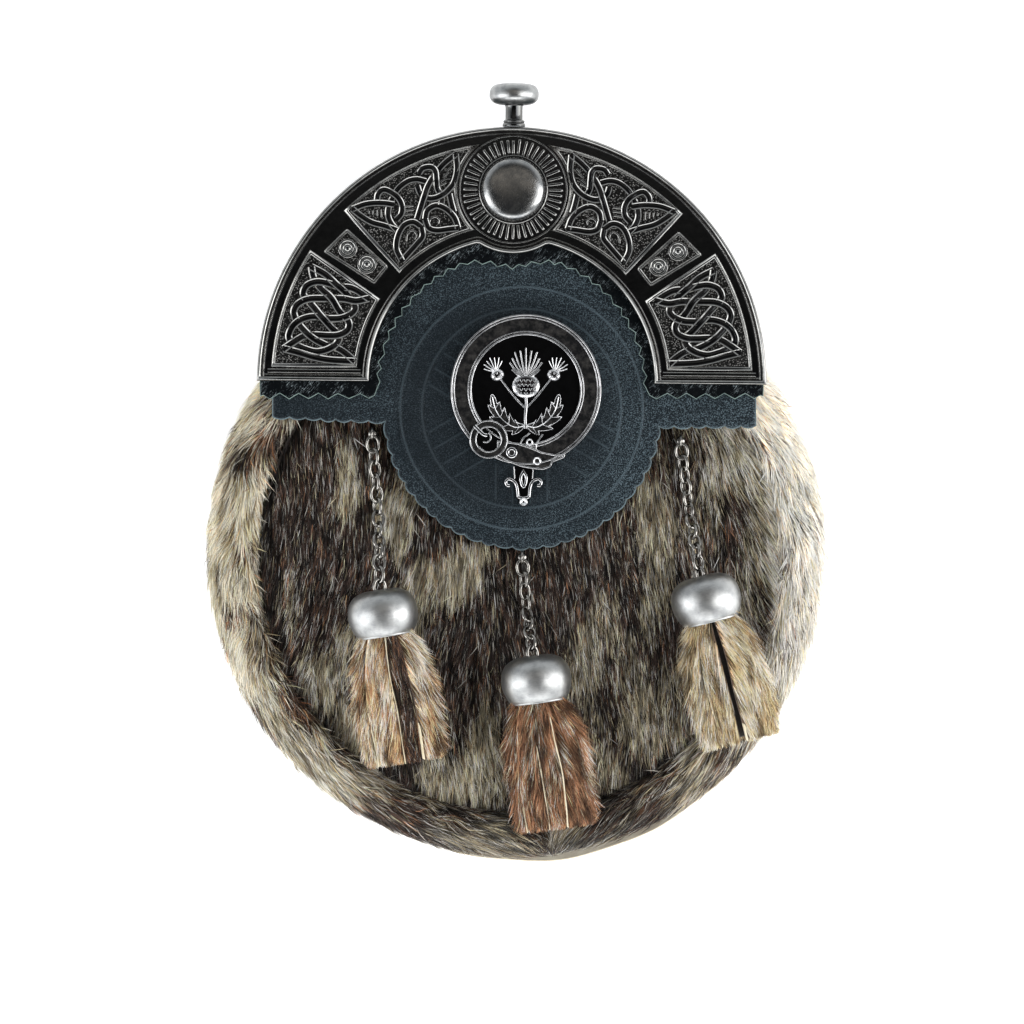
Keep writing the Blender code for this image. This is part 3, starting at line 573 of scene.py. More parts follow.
@dataclass(frozen=True)
class CutFinish:
    """The raw cut edge of leather or hide."""

    name: str
    colour: Triple
    dark: Triple

    def make(self) -> None:
        """Builds the material."""
        recipe = Recipe(self.name)
        fibres, patches = recipe.noise(0.35, 4.0, roughness=0.7), recipe.noise(3.5, 2.0)
        share = recipe.sum(recipe.span(fibres, 0.35, 0.65), recipe.span(patches, 0.35, 0.65), "MULTIPLY")
        recipe.done(Base_Color=recipe.blend(share, self.colour, self.dark), Roughness=0.85,
                    Normal=recipe.bumped(fibres, 0.15))


class Ground(Enum):
    """What a cast surface is like between its raised work."""

    PLAIN = "plain"
    STIPPLED = "stippled"
    MOTTLED = "mottled"


@dataclass(frozen=True)
class CastFinish:
    """Blackened cast metal: faces tilted away from straight up are painted bright as a painted highlight, mixed with
    patchy wear.
    """

    name: str
    dark: Triple
    bright: Triple
    ground: Ground = Ground.PLAIN
    roughness: float = 0.2

    def make(self) -> None:
        """Builds the material."""
        recipe = Recipe(self.name)
        facing = recipe.node("NewGeometry").outputs["Normal"]
        upright = recipe.node("SeparateXYZ", facing).outputs["Z"]
        patchy = recipe.noise(2.6, 5.0, roughness=0.65)
        # Painted highlight: the further a face tilts from straight up, the more of the bright colour it gets, so
        # slopes carry a painted reflection and flat tops stay dark; patchy noise adds wear.
        worn = recipe.sum(recipe.span(upright, 0.97, 0.8), recipe.span(patchy, 0.3, 0.62, 0.55, 1.0), "MULTIPLY")
        colour = recipe.blend(worn, self.dark, self.bright)
        normal = recipe.bumped(recipe.noise(1.4, 3.0), 0.012)
        if self.ground is Ground.STIPPLED:
            grains = recipe.span(recipe.cells(0.5, "F1"), 0.1, 0.42, 1.0, 0.0)
            colour = recipe.blend(grains, self.dark, self.bright)
            normal = recipe.bumped(grains, 0.12, normal)
        if self.ground is Ground.MOTTLED:
            stains = recipe.span(recipe.noise(2.8, 6.0, roughness=0.75), 0.44, 0.66, 0.0, 0.4)
            colour = recipe.blend(stains, colour, self.bright)
        roughness = recipe.span(patchy, 0.35, 0.7, self.roughness, self.roughness + 0.06)
        recipe.done(Base_Color=colour, Metallic=1.0, Roughness=roughness, Normal=normal)


@dataclass(frozen=True)
class BrushedFinish:
    """Brushed metal, its fine scratches running round the piece."""

    name: str
    colour: Triple
    dark: Triple
    roughness: float
    scratches: float = 0.03
    turn: float = 8.0

    def make(self) -> None:
        """Builds the material."""
        recipe = Recipe(self.name)
        lines = recipe.noise(0.5, 5.0, recipe.stretched((5.0, 0.4, 0.4), self.turn), 0.7)
        cloud = recipe.sum(recipe.noise(2.5, 4.0), recipe.span(lines, 0.3, 0.7, -0.14, 0.14))
        colour = recipe.blend(recipe.span(cloud, 0.4, 0.75), self.colour, self.dark)
        roughness = recipe.span(lines, 0.3, 0.7, self.roughness, self.roughness + 0.12)
        recipe.done(Base_Color=colour, Metallic=1.0, Roughness=roughness,
                    Normal=recipe.bumped(lines, self.scratches))


# ------------------------------------------------------------------------------------------------ fur


@dataclass(frozen=True)
class Shade:
    """A colour of hair, as linear red, green and blue."""

    root: Triple
    tip: Triple


class Hair(Enum):
    """The hair colours of the hides."""

    BLACK = Shade((0.006, 0.004, 0.004), (0.024, 0.017, 0.014))
    BROWN = Shade((0.022, 0.014, 0.011), (0.102, 0.066, 0.052))
    RUSSET = Shade((0.085, 0.036, 0.018), (0.340, 0.165, 0.085))
    TAN = Shade((0.210, 0.120, 0.060), (0.640, 0.405, 0.215))
    GOLD = Shade((0.250, 0.160, 0.075), (0.740, 0.540, 0.285))
    CREAM = Shade((0.235, 0.190, 0.115), (0.880, 0.760, 0.510))
    SILVER = Shade((0.180, 0.160, 0.130), (1.100, 1.050, 0.960))


Mix = tuple[tuple[Hair, float], ...]
HAIR_FACES = ((0, 1, 3, 2), (2, 3, 4))
HAIR_SHARES = np.array((0.0, 0.0, 0.5, 0.5, 1.0))
HAIR_ACROSS = np.array((0.1, 0.9, 0.1, 0.9, 0.5))


@dataclass(frozen=True)
class Patch:
    """A patch of a hide: its middle, half sizes and its share of pale hair, below 0 where it darkens the hide."""

    x: float
    y: float
    half_x: float
    half_y: float
    share: float


@dataclass
class Strands:
    """Hairs ready to be drawn, one row each.

    Attributes:
        roots: places on the skin, in millimetres.
        normals: the skin's unit normals.
        combing: unit vectors along the skin that the hairs follow.
        length: lengths in millimetres.
        width: widths at the root in millimetres.
        lift: the rise of the tip as a share of the length.
        bend: the curvature of the skin along the hair, per millimetre.
        root_colour: colours at the root.
        tip_colour: colours at the tip.
    """

    roots: Array
    normals: Array
    combing: Array
    length: Array
    width: Array
    lift: Array
    bend: Array
    root_colour: Array
    tip_colour: Array

    def columns(self) -> list[Array]:
        """The columns in order."""
        return [getattr(self, column.name) for column in fields(self)]

    def chosen(self, rows: Array) -> "Strands":
        """Some of the hairs."""
        return Strands(*(column[rows] for column in self.columns()))

    def draw(self, name: str, slot_name: str, seed: int) -> None:
        """Makes the hairs as narrow tapered blades, each with a cell of its own on a map.

        Args:
            name: the piece's name.
            slot_name: not used.
            seed: for the roll and curl of each blade.
        """
        chance = np.random.default_rng(seed)
        count, per_hair = len(self.roots), len(HAIR_SHARES)
        side = unit(np.cross(self.combing, self.normals))
        roll = chance.normal(0.0, 0.55, count)[:, None]
        across = unit(side * np.cos(roll) + self.normals * np.sin(roll))
        curl = (chance.normal(0.0, 0.035, count) * self.length)[:, None]
        length, width, lift, bend = (part[:, None] for part in (self.length, self.width, self.lift, self.bend))
        rings = []
        for share in np.unique(HAIR_SHARES):
            reach = length * share
            rise = length * lift * (2.0 * share - share ** 2) - bend * reach ** 2 / 2.0
            middle = self.roots + self.combing * reach + self.normals * rise + side * curl * share ** 2
            half = width / 2.0 * (1.0 - 0.55 * share)
            rings += [middle - across * half, middle + across * half] if share < 1.0 else [middle]
        corners = np.arange(count)[:, None] * per_hair + np.concatenate(HAIR_FACES)
        sizes = np.tile([len(face) for face in HAIR_FACES], count)
        mesh = bpy.data.meshes.new(name)
        mesh.vertices.add(count * per_hair)
        mesh.vertices.foreach_set("co", (np.stack(rings, axis=1) * MM).ravel())
        mesh.loops.add(corners.size)
        mesh.loops.foreach_set("vertex_index", corners.ravel().astype(np.int32))
        mesh.polygons.add(len(sizes))
        mesh.polygons.foreach_set("loop_start", np.concatenate(((0,), np.cumsum(sizes)[:-1])).astype(np.int32))
        mesh.polygons.foreach_set("loop_total", sizes.astype(np.int32))
        mesh.update(calc_edges=True)
        mesh.shade_smooth()
        colours = (self.root_colour[:, None, :]
                   + (self.tip_colour - self.root_colour)[:, None, :] * HAIR_SHARES[:, None] ** 0.8)
        layer = mesh.color_attributes.new("Hair", "FLOAT_COLOR", "POINT")
        layer.data.foreach_set("color", np.pad(colours, ((0, 0), (0, 0), (0, 1)), constant_values=1.0).ravel())
        cells = math.ceil(math.sqrt(count / 3.0))
        number = np.arange(count)[:, None]
        places = stacked((number % cells + HAIR_ACROSS) / cells,
                         (number // cells + (HAIR_SHARES * 0.8 + 0.1)) / math.ceil(count / cells)).reshape(-1, 2)
        mesh.uv_layers.new(name="OFBake").data.foreach_set("uv", places[corners.ravel()].ravel())
        tied(bpy.data.objects.new(name, mesh), ("hair",))


class Mottle:
    """Chooses the colour of each hair of a mottled hide."""

    def __init__(self, seed: int) -> None:
        """Starts the sources of chance.

        Args:
            seed: the first seed.
        """
        self.chance = np.random.default_rng(seed)
        self.broad = Clumps(seed + 1)
        self.fine = Clumps(seed + 2)

    def pale_share(self, x: Array, y: Array, patches: Sequence[Patch], ground: Array) -> Array:
        """How much of the hair is pale at each place.

        Args:
            x: first coordinates.
            y: second coordinates.
            patches: the patches.
            ground: the shares between them.

        Returns:
            Shares from 0 to 1.
        """
        x = (x + 4.5 * (self.broad.at(x / 5.0 + 7.0, y / 11.0) - 0.5)
             + 2.6 * (self.fine.at(x / 1.4, y / 8.0) - 0.5))
        y = y + 9.0 * (self.broad.at(x / 3.5, y / 14.0 + 9.0) - 0.5)
        share = ground
        for patch in patches:
            away = np.hypot((x - patch.x) / patch.half_x, (y - patch.y) / patch.half_y)
            fall = np.clip(2.4 - 1.55 * away, 0.0, 1.0)
            strength = (1.3 if patch.x < 5.0 else 0.98) * patch.share
            share = (np.maximum(share, min(strength, 0.97) * fall) if patch.share > 0.0
                     else share * (1.0 + patch.share * fall))
        return share

    def colours(self, lock: Array, pale: Array, dark_mix: Mix, pale_mix: Mix,
                gain: float | Array, soft: float | Array = 0.12) -> tuple[Array, Array]:
        """Root and tip colours.

        Args:
            lock: where each hair lies in its lock, from 0 in the gaps to 1 on the ridges.
            pale: the share of pale hair at each place.
            dark_mix: the dark hairs, with their shares.
            pale_mix: the pale hairs, with their shares.
            gain: how bright the hair is.
            soft: how bright pale hair stays in the painted shade of the gaps.

        Returns:
            The colours at the root and at the tip.
        """
        is_pale = self.chance.random(len(pale)) < pale
        roots, tips = np.empty((len(pale), 3)), np.empty((len(pale), 3))
        guard = np.zeros(len(pale), dtype=bool)
        for chosen, mix in ((is_pale, pale_mix), (~is_pale, dark_mix)):
            limits = np.cumsum([share for _hair, share in mix])
            pick = np.searchsorted(limits / limits[-1], self.chance.random(int(chosen.sum())))
            pick = np.minimum(pick, len(mix) - 1)
            roots[chosen] = np.array([hair.value.root for hair, _share in mix])[pick]
            tips[chosen] = np.array([hair.value.tip for hair, _share in mix])[pick]
            guard[chosen] = np.array([hair is Hair.SILVER and mix is dark_mix for hair, _share in mix])[pick]
        own = self.chance.normal(1.0, 0.42, len(pale)).clip(0.2, 2.4)
        # Painted shade: hair in the gaps between locks is darkened towards a base tone and hair on the ridges
        # brightened; guard hairs are left out of it.
        base = np.where(is_pale, soft, 0.1)
        bright = np.where(is_pale, gain, np.minimum(gain, 1.4))
        tone = (np.where(guard, 0.62, (base + (2.0 - 1.6 * base) * lock ** 2) * bright) * own)[:, None]
        return roots * tone, np.minimum(tips * tone, 0.95)


@dataclass(frozen=True)
class Body:
    """The round of the pouch: sizes that the front and the gusset share."""

    centre: Pair = (0.0, -22.0)
    crease_radius: float = 75.4
    edge_z: float = 32.8
    crown: float = 3.6
    gusset_front: float = 35.6

    def radius(self, x: Array, y: Array) -> Array:
        """Distances from the middle of the round."""
        return np.hypot(np.asarray(x) - self.centre[0], np.asarray(y) - self.centre[1])

    def crowned(self, radius: Array) -> Array:
        """The heights of the crowned front at distances from its middle."""
        return self.edge_z + self.crown * (1.0 - (radius / self.crease_radius) ** 2)

    def front_height(self, x: Array, y: Array) -> Array:
        """The heights of the fur's surface."""
        radius = self.radius(x, y)
        return np.where(radius < self.crease_radius, self.crowned(radius), self.gusset_front)


FRONT_PATCHES = tuple(Patch(*row) for row in (
    (-50.2, 0.9, 3.4, 9.5, 0.75), (-35.3, -9.0, 5.0, 8.0, 0.7), (-31.0, 2.0, 4.5, 6.0, 0.5),
    (-23.7, -27.2, 9.0, 5.0, 0.8), (-14.6, -21.4, 6.0, 5.5, 0.75), (-29.0, -35.0, 4.0, 6.0, 0.55),
    (-57.7, -57.0, 5.5, 8.0, 0.8), (-49.4, -50.0, 3.0, 7.0, 0.7), (-46.9, -73.6, 5.5, 9.0, 0.85),
    (-11.3, -83.5, 7.0, 9.0, 0.85), (-19.5, -88.0, 6.0, 6.0, 0.75), (-8.9, -73.0, 4.0, 8.0, 0.6),
    (-24.0, -82.5, 5.0, 5.0, 0.6), (39.7, -8.2, 5.5, 9.0, 0.85), (44.7, -14.0, 3.6, 7.5, 0.7),
    (41.4, -27.2, 3.6, 10.0, 0.75), (39.7, -38.0, 3.2, 8.0, 0.7), (58.5, 5.9, 6.0, 8.0, 0.8),
    (57.0, -8.0, 4.0, 8.0, 0.45), (25.7, -38.8, 3.2, 5.5, 0.7), (20.0, -53.0, 3.6, 11.0, 0.75),
    (30.0, -44.0, 3.6, 5.0, 0.55), (38.9, -69.5, 6.0, 9.0, 0.8), (46.4, -63.0, 5.0, 10.0, 0.6),
    (33.0, -55.4, 4.0, 5.0, 0.5), (71.0, -30.0, 4.0, 10.0, 0.5), (28.0, -83.5, 5.0, 5.5, 0.7),
    (51.3, -74.0, 4.5, 6.0, 0.6), (24.0, -72.0, 3.0, 6.0, 0.5), (-66.0, -34.0, 3.0, 6.0, 0.3),
    (64.0, -8.5, 3.0, 10.0, -0.85), (71.0, -42.0, 2.4, 12.0, -0.75), (50.5, 2.0, 2.6, 6.0, -0.7),
    (48.5, -24.0, 2.4, 9.0, -0.75), (59.0, -30.0, 2.0, 9.0, -0.6), (33.0, -5.0, 2.4, 6.0, -0.7),
    (66.0, -62.0, 3.0, 9.0, -0.8),
))


@dataclass(frozen=True)
class FurFront:
    """The crowned fur front inside the roll."""

    body: Body = Body()
    top_y: float = 40.0
    skin_drop: float = 2.1
    wall: float = 2.2
    spacing: float = 0.352
    flap_centre: Pair = (2.1, 20.2)
    # Where the chains' eyes stand; the hair round each is painted darker as shade.
    eyes: Places = ((-42.2, 14.8), (49.0, 12.6), (2.1, -21.8))
    hidden_radius: float = 36.5
    hidden_top: float = 24.0
    hidden_reach: float = 72.0
    margin: float = 0.6
    parting: float = 2.0
    dark_mix: Mix = ((Hair.BLACK, 0.34), (Hair.BROWN, 0.53), (Hair.SILVER, 0.08), (Hair.RUSSET, 0.05))
    pale_mix: Mix = ((Hair.CREAM, 0.68), (Hair.SILVER, 0.16), (Hair.TAN, 0.06), (Hair.BROWN, 0.1))

    def skin_places(self, x: Array, y: Array) -> Array:
        """Places on the skin under the hair."""
        return stacked(x, y, self.body.crowned(self.body.radius(x, y)) - self.skin_drop)

    def skin(self) -> None:
        """Makes the hide under the hair."""
        top_turn = math.acos((self.top_y - self.body.centre[1]) / self.body.crease_radius)
        turns = np.linspace(top_turn, math.radians(176.0), 45)[:, None]
        y = self.body.centre[1] + self.body.crease_radius * np.cos(turns)
        top = self.skin_places(self.body.crease_radius * np.sin(turns) * np.linspace(-1.0, 1.0, 49), y)
        under = top - (0.0, 0.0, self.wall)
        edge = np.vstack((top[0], top[1:, -1], top[-1, -2::-1], top[-2:0:-1, 0]))
        mould = Mould()
        mould.sheet(top[::-1])
        mould.sheet(under)
        mould.sheet(np.stack((edge, edge - (0.0, 0.0, self.wall)))[::-1], wrap_columns=True)
        mould.cast("fur_front_skin", ("undercoat",), "front_fur", ("fur_front_panel",))

    def hair(self) -> None:
        """Grows the hair, combed down the front."""
        chance = np.random.default_rng(11)
        span = np.arange(-76.0, 76.0, self.spacing)
        x, y = (part.ravel() for part in np.meshgrid(span, span + self.body.centre[1]))
        x = x + chance.uniform(-0.5, 0.5, x.shape) * self.spacing
        y = y + chance.uniform(-0.5, 0.5, y.shape) * self.spacing
        radius = self.body.radius(x, y)
        hidden = (np.hypot(x - self.flap_centre[0], y - self.flap_centre[1]) < self.hidden_radius) | (
            (y > self.hidden_top) & (radius < self.hidden_reach))
        keep = (radius < self.body.crease_radius - self.margin) & (y < self.top_y) & ~hidden
        x, y, radius = x[keep], y[keep], radius[keep]
        drift, ridges = Clumps(31), Clumps(35, 128)
        lock = ridges.at(x / 1.15, y / 4.2)
        lean = 0.4 * (drift.at(x / 16.0, y / 16.0) - 0.5) + 0.2 * (drift.at(x / 4.0 + 20.0, y / 6.0) - 0.5)
        lean = lean + 0.5 * (ridges.at((x + 0.4) / 1.15, y / 4.2) - ridges.at((x - 0.4) / 1.15, y / 4.2))
        lean = lean + chance.normal(0.0, 0.08, x.shape) + 0.0022 * x * (y < 0.0)
        slope = -2.0 * self.body.crown / self.body.crease_radius ** 2
        normals = unit(stacked(-slope * (x - self.body.centre[0]), -slope * (y - self.body.centre[1]), 1.0))
        flow = stacked(np.sin(lean), -np.cos(lean), 0.0)
        flow = unit(flow - normals * dots(flow, normals))
        warm = ramp(x, 5.0, 45.0) * ramp(y, -45.0, 30.0)
        open_side = ramp(x, 20.0, 25.0) * ramp(y, -75.0, 20.0)
        merging = open_side * ramp(radius, 60.0, 13.0)
        ground = np.maximum(np.maximum(0.06, 0.26 * warm), 0.84 * merging)
        mottle = Mottle(21)
        pale = mottle.pale_share(x, y, FRONT_PATCHES, ground)
        gain = np.interp(x, (-45.0, 0.0, 45.0), (1.25, 0.95, 1.05)) + 0.9 * merging
        roots, tips = mottle.colours(lock, pale, self.dark_mix, self.pale_mix, gain, 0.36)
        flow = unit(flow + (0.5 * merging)[:, None] * stacked(x, y - self.body.centre[1], 0.0) / radius[:, None])
        # Painted shade: the hair darkens towards the crease, over a wider band on the lower left and not on the open
        # right side, and in a dark spot round each chain's eye.
        side = ramp(-x, 35.0, 12.0) * ramp(-y, 4.0, 6.0)
        edge = self.body.crease_radius - self.margin - radius
        shade = np.clip(edge / (2.5 + 3.5 * side), 0.0, 1.0) ** 0.8
        shade = 0.2 + 0.8 * np.maximum(shade, open_side)
        for eye in self.eyes:
            shade = shade * (1.0 - 0.8 * np.exp(-((x - eye[0]) ** 2 + (y - eye[1]) ** 2) / 2.7 ** 2))
        stray = chance.random(x.shape) < 0.008
        length = chance.normal(5.2, 1.0, x.shape).clip(3.0, 8.0)
        foot = np.sqrt(np.maximum(self.body.crease_radius ** 2 - x ** 2, 0.0))
        room = y - (self.body.centre[1] - foot)
        length = np.minimum(length, 2.5 + room * 0.9 + 2.5 * chance.random(x.shape)) + 2.2 * merging
        lift = chance.normal(0.2, 0.03, x.shape).clip(0.1, 0.32) + 0.13 * (lock - 0.5) + 0.16 * stray
        flow = unit(flow + stacked(np.where(stray, chance.normal(0.0, 0.6, x.shape), 0.0), 0.0, 0.0))
        strands = Strands(self.skin_places(x, y), normals, flow, length, np.zeros(len(x)), lift + 0.4 * merging,
                          np.zeros(len(x)), roots * shade[:, None], tips * shade[:, None])
        for name, rows in (("left", x < self.parting), ("right", x >= self.parting)):
            strands.width[rows] = chance.uniform(0.15, 0.31, int(rows.sum()))
            strands.chosen(rows).draw(f"fur_front_hair_{name}", "front_fur", 41)


@dataclass(frozen=True)
class Gusset:
    """The fur roll round the sides and the bottom of the pouch."""

    body: Body = Body()
    start: float = 135.0
    end: float = 405.0
    meeting: float = 277.0
    spacing: float = 0.435
    curve_step: float = 0.5
    middle_radius: float = 84.0
    girth: float = 45.0
    inset: float = 1.3
    section: Places = (
        (79.5, 2.9), (85.0, 2.9), (88.6, 6.6), (90.2, 13.6), (90.3, 21.6), (88.7, 28.4), (85.2, 33.2),
        (80.8, 35.1), (77.4, 34.0), (75.9, 31.0), (78.4, 29.4), (80.4, 24.0), (80.9, 14.0), (80.4, 6.5),
    )
    dark_mix: Mix = ((Hair.BLACK, 0.16), (Hair.BROWN, 0.6), (Hair.RUSSET, 0.16), (Hair.SILVER, 0.08))
    pale_mix: Mix = ((Hair.CREAM, 0.49), (Hair.SILVER, 0.42), (Hair.TAN, 0.09))
    pale: Places = (
        (135.0, 0.5), (150.0, 0.58), (172.0, 0.6), (185.0, 0.72), (205.0, 0.56), (225.0, 0.46), (245.0, 0.34),
        (262.0, 0.2), (275.0, 0.28), (305.0, 0.38), (320.0, 0.6), (335.0, 0.84), (350.0, 0.88),
    )
    cloudy: Places = ((135.0, 2.4), (225.0, 2.0), (300.0, 1.6), (340.0, 0.5))
    gain: Places = (
        (150.0, 2.3), (185.0, 2.6), (225.0, 1.6), (255.0, 0.5), (285.0, 0.32), (305.0, 0.52), (325.0, 1.15),
        (345.0, 2.8), (362.0, 4.6), (380.0, 6.6),
    )
    soft: Places = ((135.0, 0.12), (315.0, 0.12), (350.0, 0.42))
    warm: Places = ((135.0, 1.0), (200.0, 0.8), (240.0, 0.25), (405.0, 0.15))
    white: Places = ((325.0, 0.0), (350.0, 0.22), (375.0, 0.5))
    # Painted shade: by angle, how much the hair next to the crease is darkened.
    closed: Places = ((315.0, 0.75), (335.0, 0.0))
    inwards: Places = ((185.0, 0.35), (205.0, 0.0), (315.0, 0.0), (335.0, 0.3))
    side_lift: Places = ((135.0, 0.42), (200.0, 0.38), (240.0, 0.25), (300.0, 0.25), (340.0, 0.5), (405.0, 0.52))

    def outer_curve(self) -> Array:
        """The furred side of the cross-section, from the back round to the crease."""
        curve = evenly(smooth_run(self.section[1:10], 10), self.curve_step)
        return curve + outward_miters(curve, False) * self.inset

    def place(self, radius: Array, angle: Array, height: Array) -> Array:
        """Places on the roll."""
        return stacked(self.body.centre[0] + radius * np.cos(angle), self.body.centre[1] + radius * np.sin(angle),
                       height)

    def skin(self) -> None:
        """Makes the hide of the roll."""
        outer = self.outer_curve()
        ring = np.vstack((outer[::3], outer[-1:], self.section[10:], ((80.0, 3.2),)))
        angles = np.radians(np.linspace(self.start, self.end, 136))[:, None]
        mould = Mould()
        mould.sheet(self.place(ring[:, 0], angles, ring[:, 1])[::-1], wrap_columns=True, caps=True)
        mould.cast("fur_gusset_skin", ("roll_undercoat",), "gusset_fur", ("fur_gusset",))

    def hair(self) -> None:
        """Grows the hair, combed down both sides to where it meets at the bottom."""
        chance = np.random.default_rng(12)
        curve = self.outer_curve()
        tangents = headings(curve)
        total, step, turn = len(curve) - 1, self.spacing / self.curve_step, self.spacing / self.middle_radius
        along, angle = (part.ravel() for part in np.meshgrid(
            np.arange(0.0, total, step), np.arange(math.radians(self.start), math.radians(self.end), turn)))
        along = along + chance.uniform(-0.5, 0.5, along.shape) * self.spacing / self.curve_step
        along = along.clip(0.0, total - 0.01)
        angle = angle + chance.uniform(-0.5, 0.5, angle.shape) * self.spacing / self.middle_radius
        number = along.astype(int)
        part = (along - number)[:, None]
        spot = curve[number] * (1.0 - part) + curve[number + 1] * part
        tangent = unit(tangents[number] * (1.0 - part) + tangents[number + 1] * part)
        share, degrees = along / total, np.degrees(angle)
        out, up = stacked(np.cos(angle), np.sin(angle), 0.0), np.array((0.0, 0.0, 1.0))
        normals = out * tangent[:, 1:] - up * tangent[:, :1]
        to_crease = out * tangent[:, :1] + up * tangent[:, 1:]
        sweep = stacked(-np.sin(angle), np.cos(angle), 0.0)
        away = degrees - self.meeting
        drift, ridges = Clumps(33), Clumps(37, 128)
        arc_length, across = angle * self.middle_radius, share * self.girth
        lock = ridges.at(across / 1.3, arc_length / 5.0)
        inwards = self.by_angle(self.inwards, degrees) * ramp(share, 0.6, 0.3)
        tousled = 1.0 + 1.2 * ramp(degrees, 215.0, -15.0)
        outwards = 0.12 - inwards + 0.42 * np.clip(1.25 - share * 1.25, 0.0, 1.0)
        outwards = outwards + 0.6 * tousled * (drift.at(degrees / 9.0, share * 4.0) - 0.5)
        outwards = outwards + 0.5 * tousled * (drift.at(degrees / 3.0 + 30.0, share * 7.0) - 0.5)
        outwards = outwards - 0.7 * (ridges.at((across + 0.4) / 1.5, arc_length / 5.5)
                                     - ridges.at((across - 0.4) / 1.5, arc_length / 5.5))
        outwards = outwards + 0.5 * np.exp(-(away / 9.0) ** 2) + chance.normal(0.0, 0.11, angle.shape)
        flow = unit(sweep * -np.tanh(away / 5.0)[:, None] - to_crease * outwards[:, None])
        tangled = ramp(share, 0.8, 0.12) * ramp(degrees, 235.0, -20.0)
        stray = chance.random(angle.shape) < 0.015 + 0.07 * tangled
        flow = unit(flow + to_crease * np.where(stray, chance.normal(0.2 + 0.6 * tangled, 0.6), 0.0)[:, None])
        length = chance.normal(6.8, 1.3, angle.shape).clip(4.0, 10.5)
        length = length * (1.0 - 0.45 * ramp(share, 0.86, 0.14))
        outer = ramp(share, 0.75, -0.3)
        lift = 0.2 * (1.0 - outer) + self.by_angle(self.side_lift, degrees) * outer
        lift = lift + chance.normal(0.0, 0.05, angle.shape) + 0.14 * (lock - 0.5) + 0.16 * stray
        across_share = np.abs(np.sum(flow * to_crease, axis=1))
        bend = across_share ** 2 / 15.0 + (1.0 - across_share ** 2) / 90.0
        place = self.place(spot[:, 0], angle, spot[:, 1])
        low = (place[:, 2] < 8.0) & (flow[:, 2] < 0.0)
        flow[low, 2] *= 0.2
        length = np.where(low, np.minimum(length, 7.0), length)
        roots, tips = self.colours(degrees, share, lock)
        strands = Strands(place, normals, unit(flow), length, chance.uniform(0.16, 0.34, angle.shape),
                          lift.clip(0.06, 0.7), bend, roots, tips)
        for name, rows in (("left", degrees < 225.0), ("bottom", (degrees >= 225.0) & (degrees < 315.0)),
                           ("right", degrees >= 315.0)):
            strands.chosen(rows).draw(f"fur_gusset_hair_{name}", "gusset_fur", 42)

    @staticmethod
    def by_angle(table: Places, degrees: Array) -> Array:
        """The values of a table of (angle, value)."""
        return np.interp(degrees, *zip(*table))

    def colours(self, degrees: Array, share: Array, lock: Array) -> tuple[Array, Array]:
        """Hair colours round the roll.

        Args:
            degrees: angles from +X.
            share: places across the roll, from the back to the crease.
            lock: where each hair lies in its lock.

        Returns:
            The colours at the root and at the tip.
        """
        mottle = Mottle(22)
        cloud = mottle.broad.at(np.radians(degrees) * self.middle_radius / 9.0, share * self.girth / 8.0)
        pale = self.by_angle(self.pale, degrees) + self.by_angle(self.cloudy, degrees) * (cloud - 0.5)
        pale = (pale + 0.25 * ramp(share, 0.62, -0.3)).clip(0.05, 0.97)
        roots, tips = mottle.colours(lock, pale, self.dark_mix, self.pale_mix, self.by_angle(self.gain, degrees),
                                     self.by_angle(self.soft, degrees))
        warmth = self.by_angle(self.warm, degrees) - self.by_angle(self.white, degrees)
        tint = np.array((0.07, -0.01, -0.14)) * warmth[:, None] + 1.0
        # Painted shade: hair close to the crease is darkened, by angle.
        tint = tint * (1.0 - self.by_angle(self.closed, degrees) * ramp(share, 0.93, 0.07))[:, None]
        return roots * tint, np.minimum(tips * tint, 0.95)


# ------------------------------------------------------------------------------------------ the leather


@dataclass(frozen=True)
class Lid:
    """Sizes that the pieces of the lid share."""

    centre: Pair = (-1.0, 28.3)
    tilt: float = -0.5
    arch_radius: float = 41.9
    medallion_y: float = 56.6
    medallion_swell: float = 18.9

    def inner_radius(self, angle: float) -> float:
        """The radius of the cantle's inner edge, which swells inwards under the medallion.

        Args:
            angle: the angle about the arch's centre.

        Returns:
            The radius.
        """
        from_top = math.radians(angle - 90.0)
        room = self.medallion_swell ** 2 - (self.medallion_y * math.sin(from_top)) ** 2
        if room <= 0.0 or math.cos(from_top) < 0.0:
            return self.arch_radius
        return min(self.arch_radius, self.medallion_y * math.cos(from_top) - math.sqrt(room))

    def matrix(self) -> Matrix:
        """From the cantle's own frame to the object's."""
        place = Matrix.Translation(Vector((*self.centre, 0.0)) * MM)
        return place @ Matrix.Rotation(math.radians(self.tilt), 4, "Z")


def edged(route: Array, pitch: float, rise: float, pointed: bool, chance: Chance, steps: int = 8) -> Array:
    """A route whose right side stands out in scallops or teeth.

    Args:
        route: rows of (x, y), with the material on its left.
        pitch: the length of a wave.
        rise: how far a wave stands out.
        pointed: teeth if true, else scallops.
        chance: makes each wave a little uneven.
        steps: places in a wave.

    Returns:
        The new route.
    """
    lengths = travelled(route)
    waves = max(1, round(lengths[-1] / pitch))
    ends = np.linspace(0.0, lengths[-1], waves + 1)
    ends[1:-1] += chance.uniform(-0.12, 0.12, waves - 1) * pitch
    shares = np.arange(steps) / steps
    wanted, rises = [], []
    for start, end in zip(ends, ends[1:]):
        wanted.extend(start + (end - start) * shares)
        height = rise * chance.uniform(0.8, 1.15)
        shape = 2.0 * (1.0 - np.abs(2.0 * shares - 1.0)) - 1.0 if pointed else np.sin(np.pi * shares) ** 0.75
        rises.extend(height * shape)
    places = sampled(route, lengths, [*wanted, lengths[-1]])
    rises.append(-rise if pointed else 0.0)
    return places - left_of(headings(places)) * np.array(rises)[:, None]


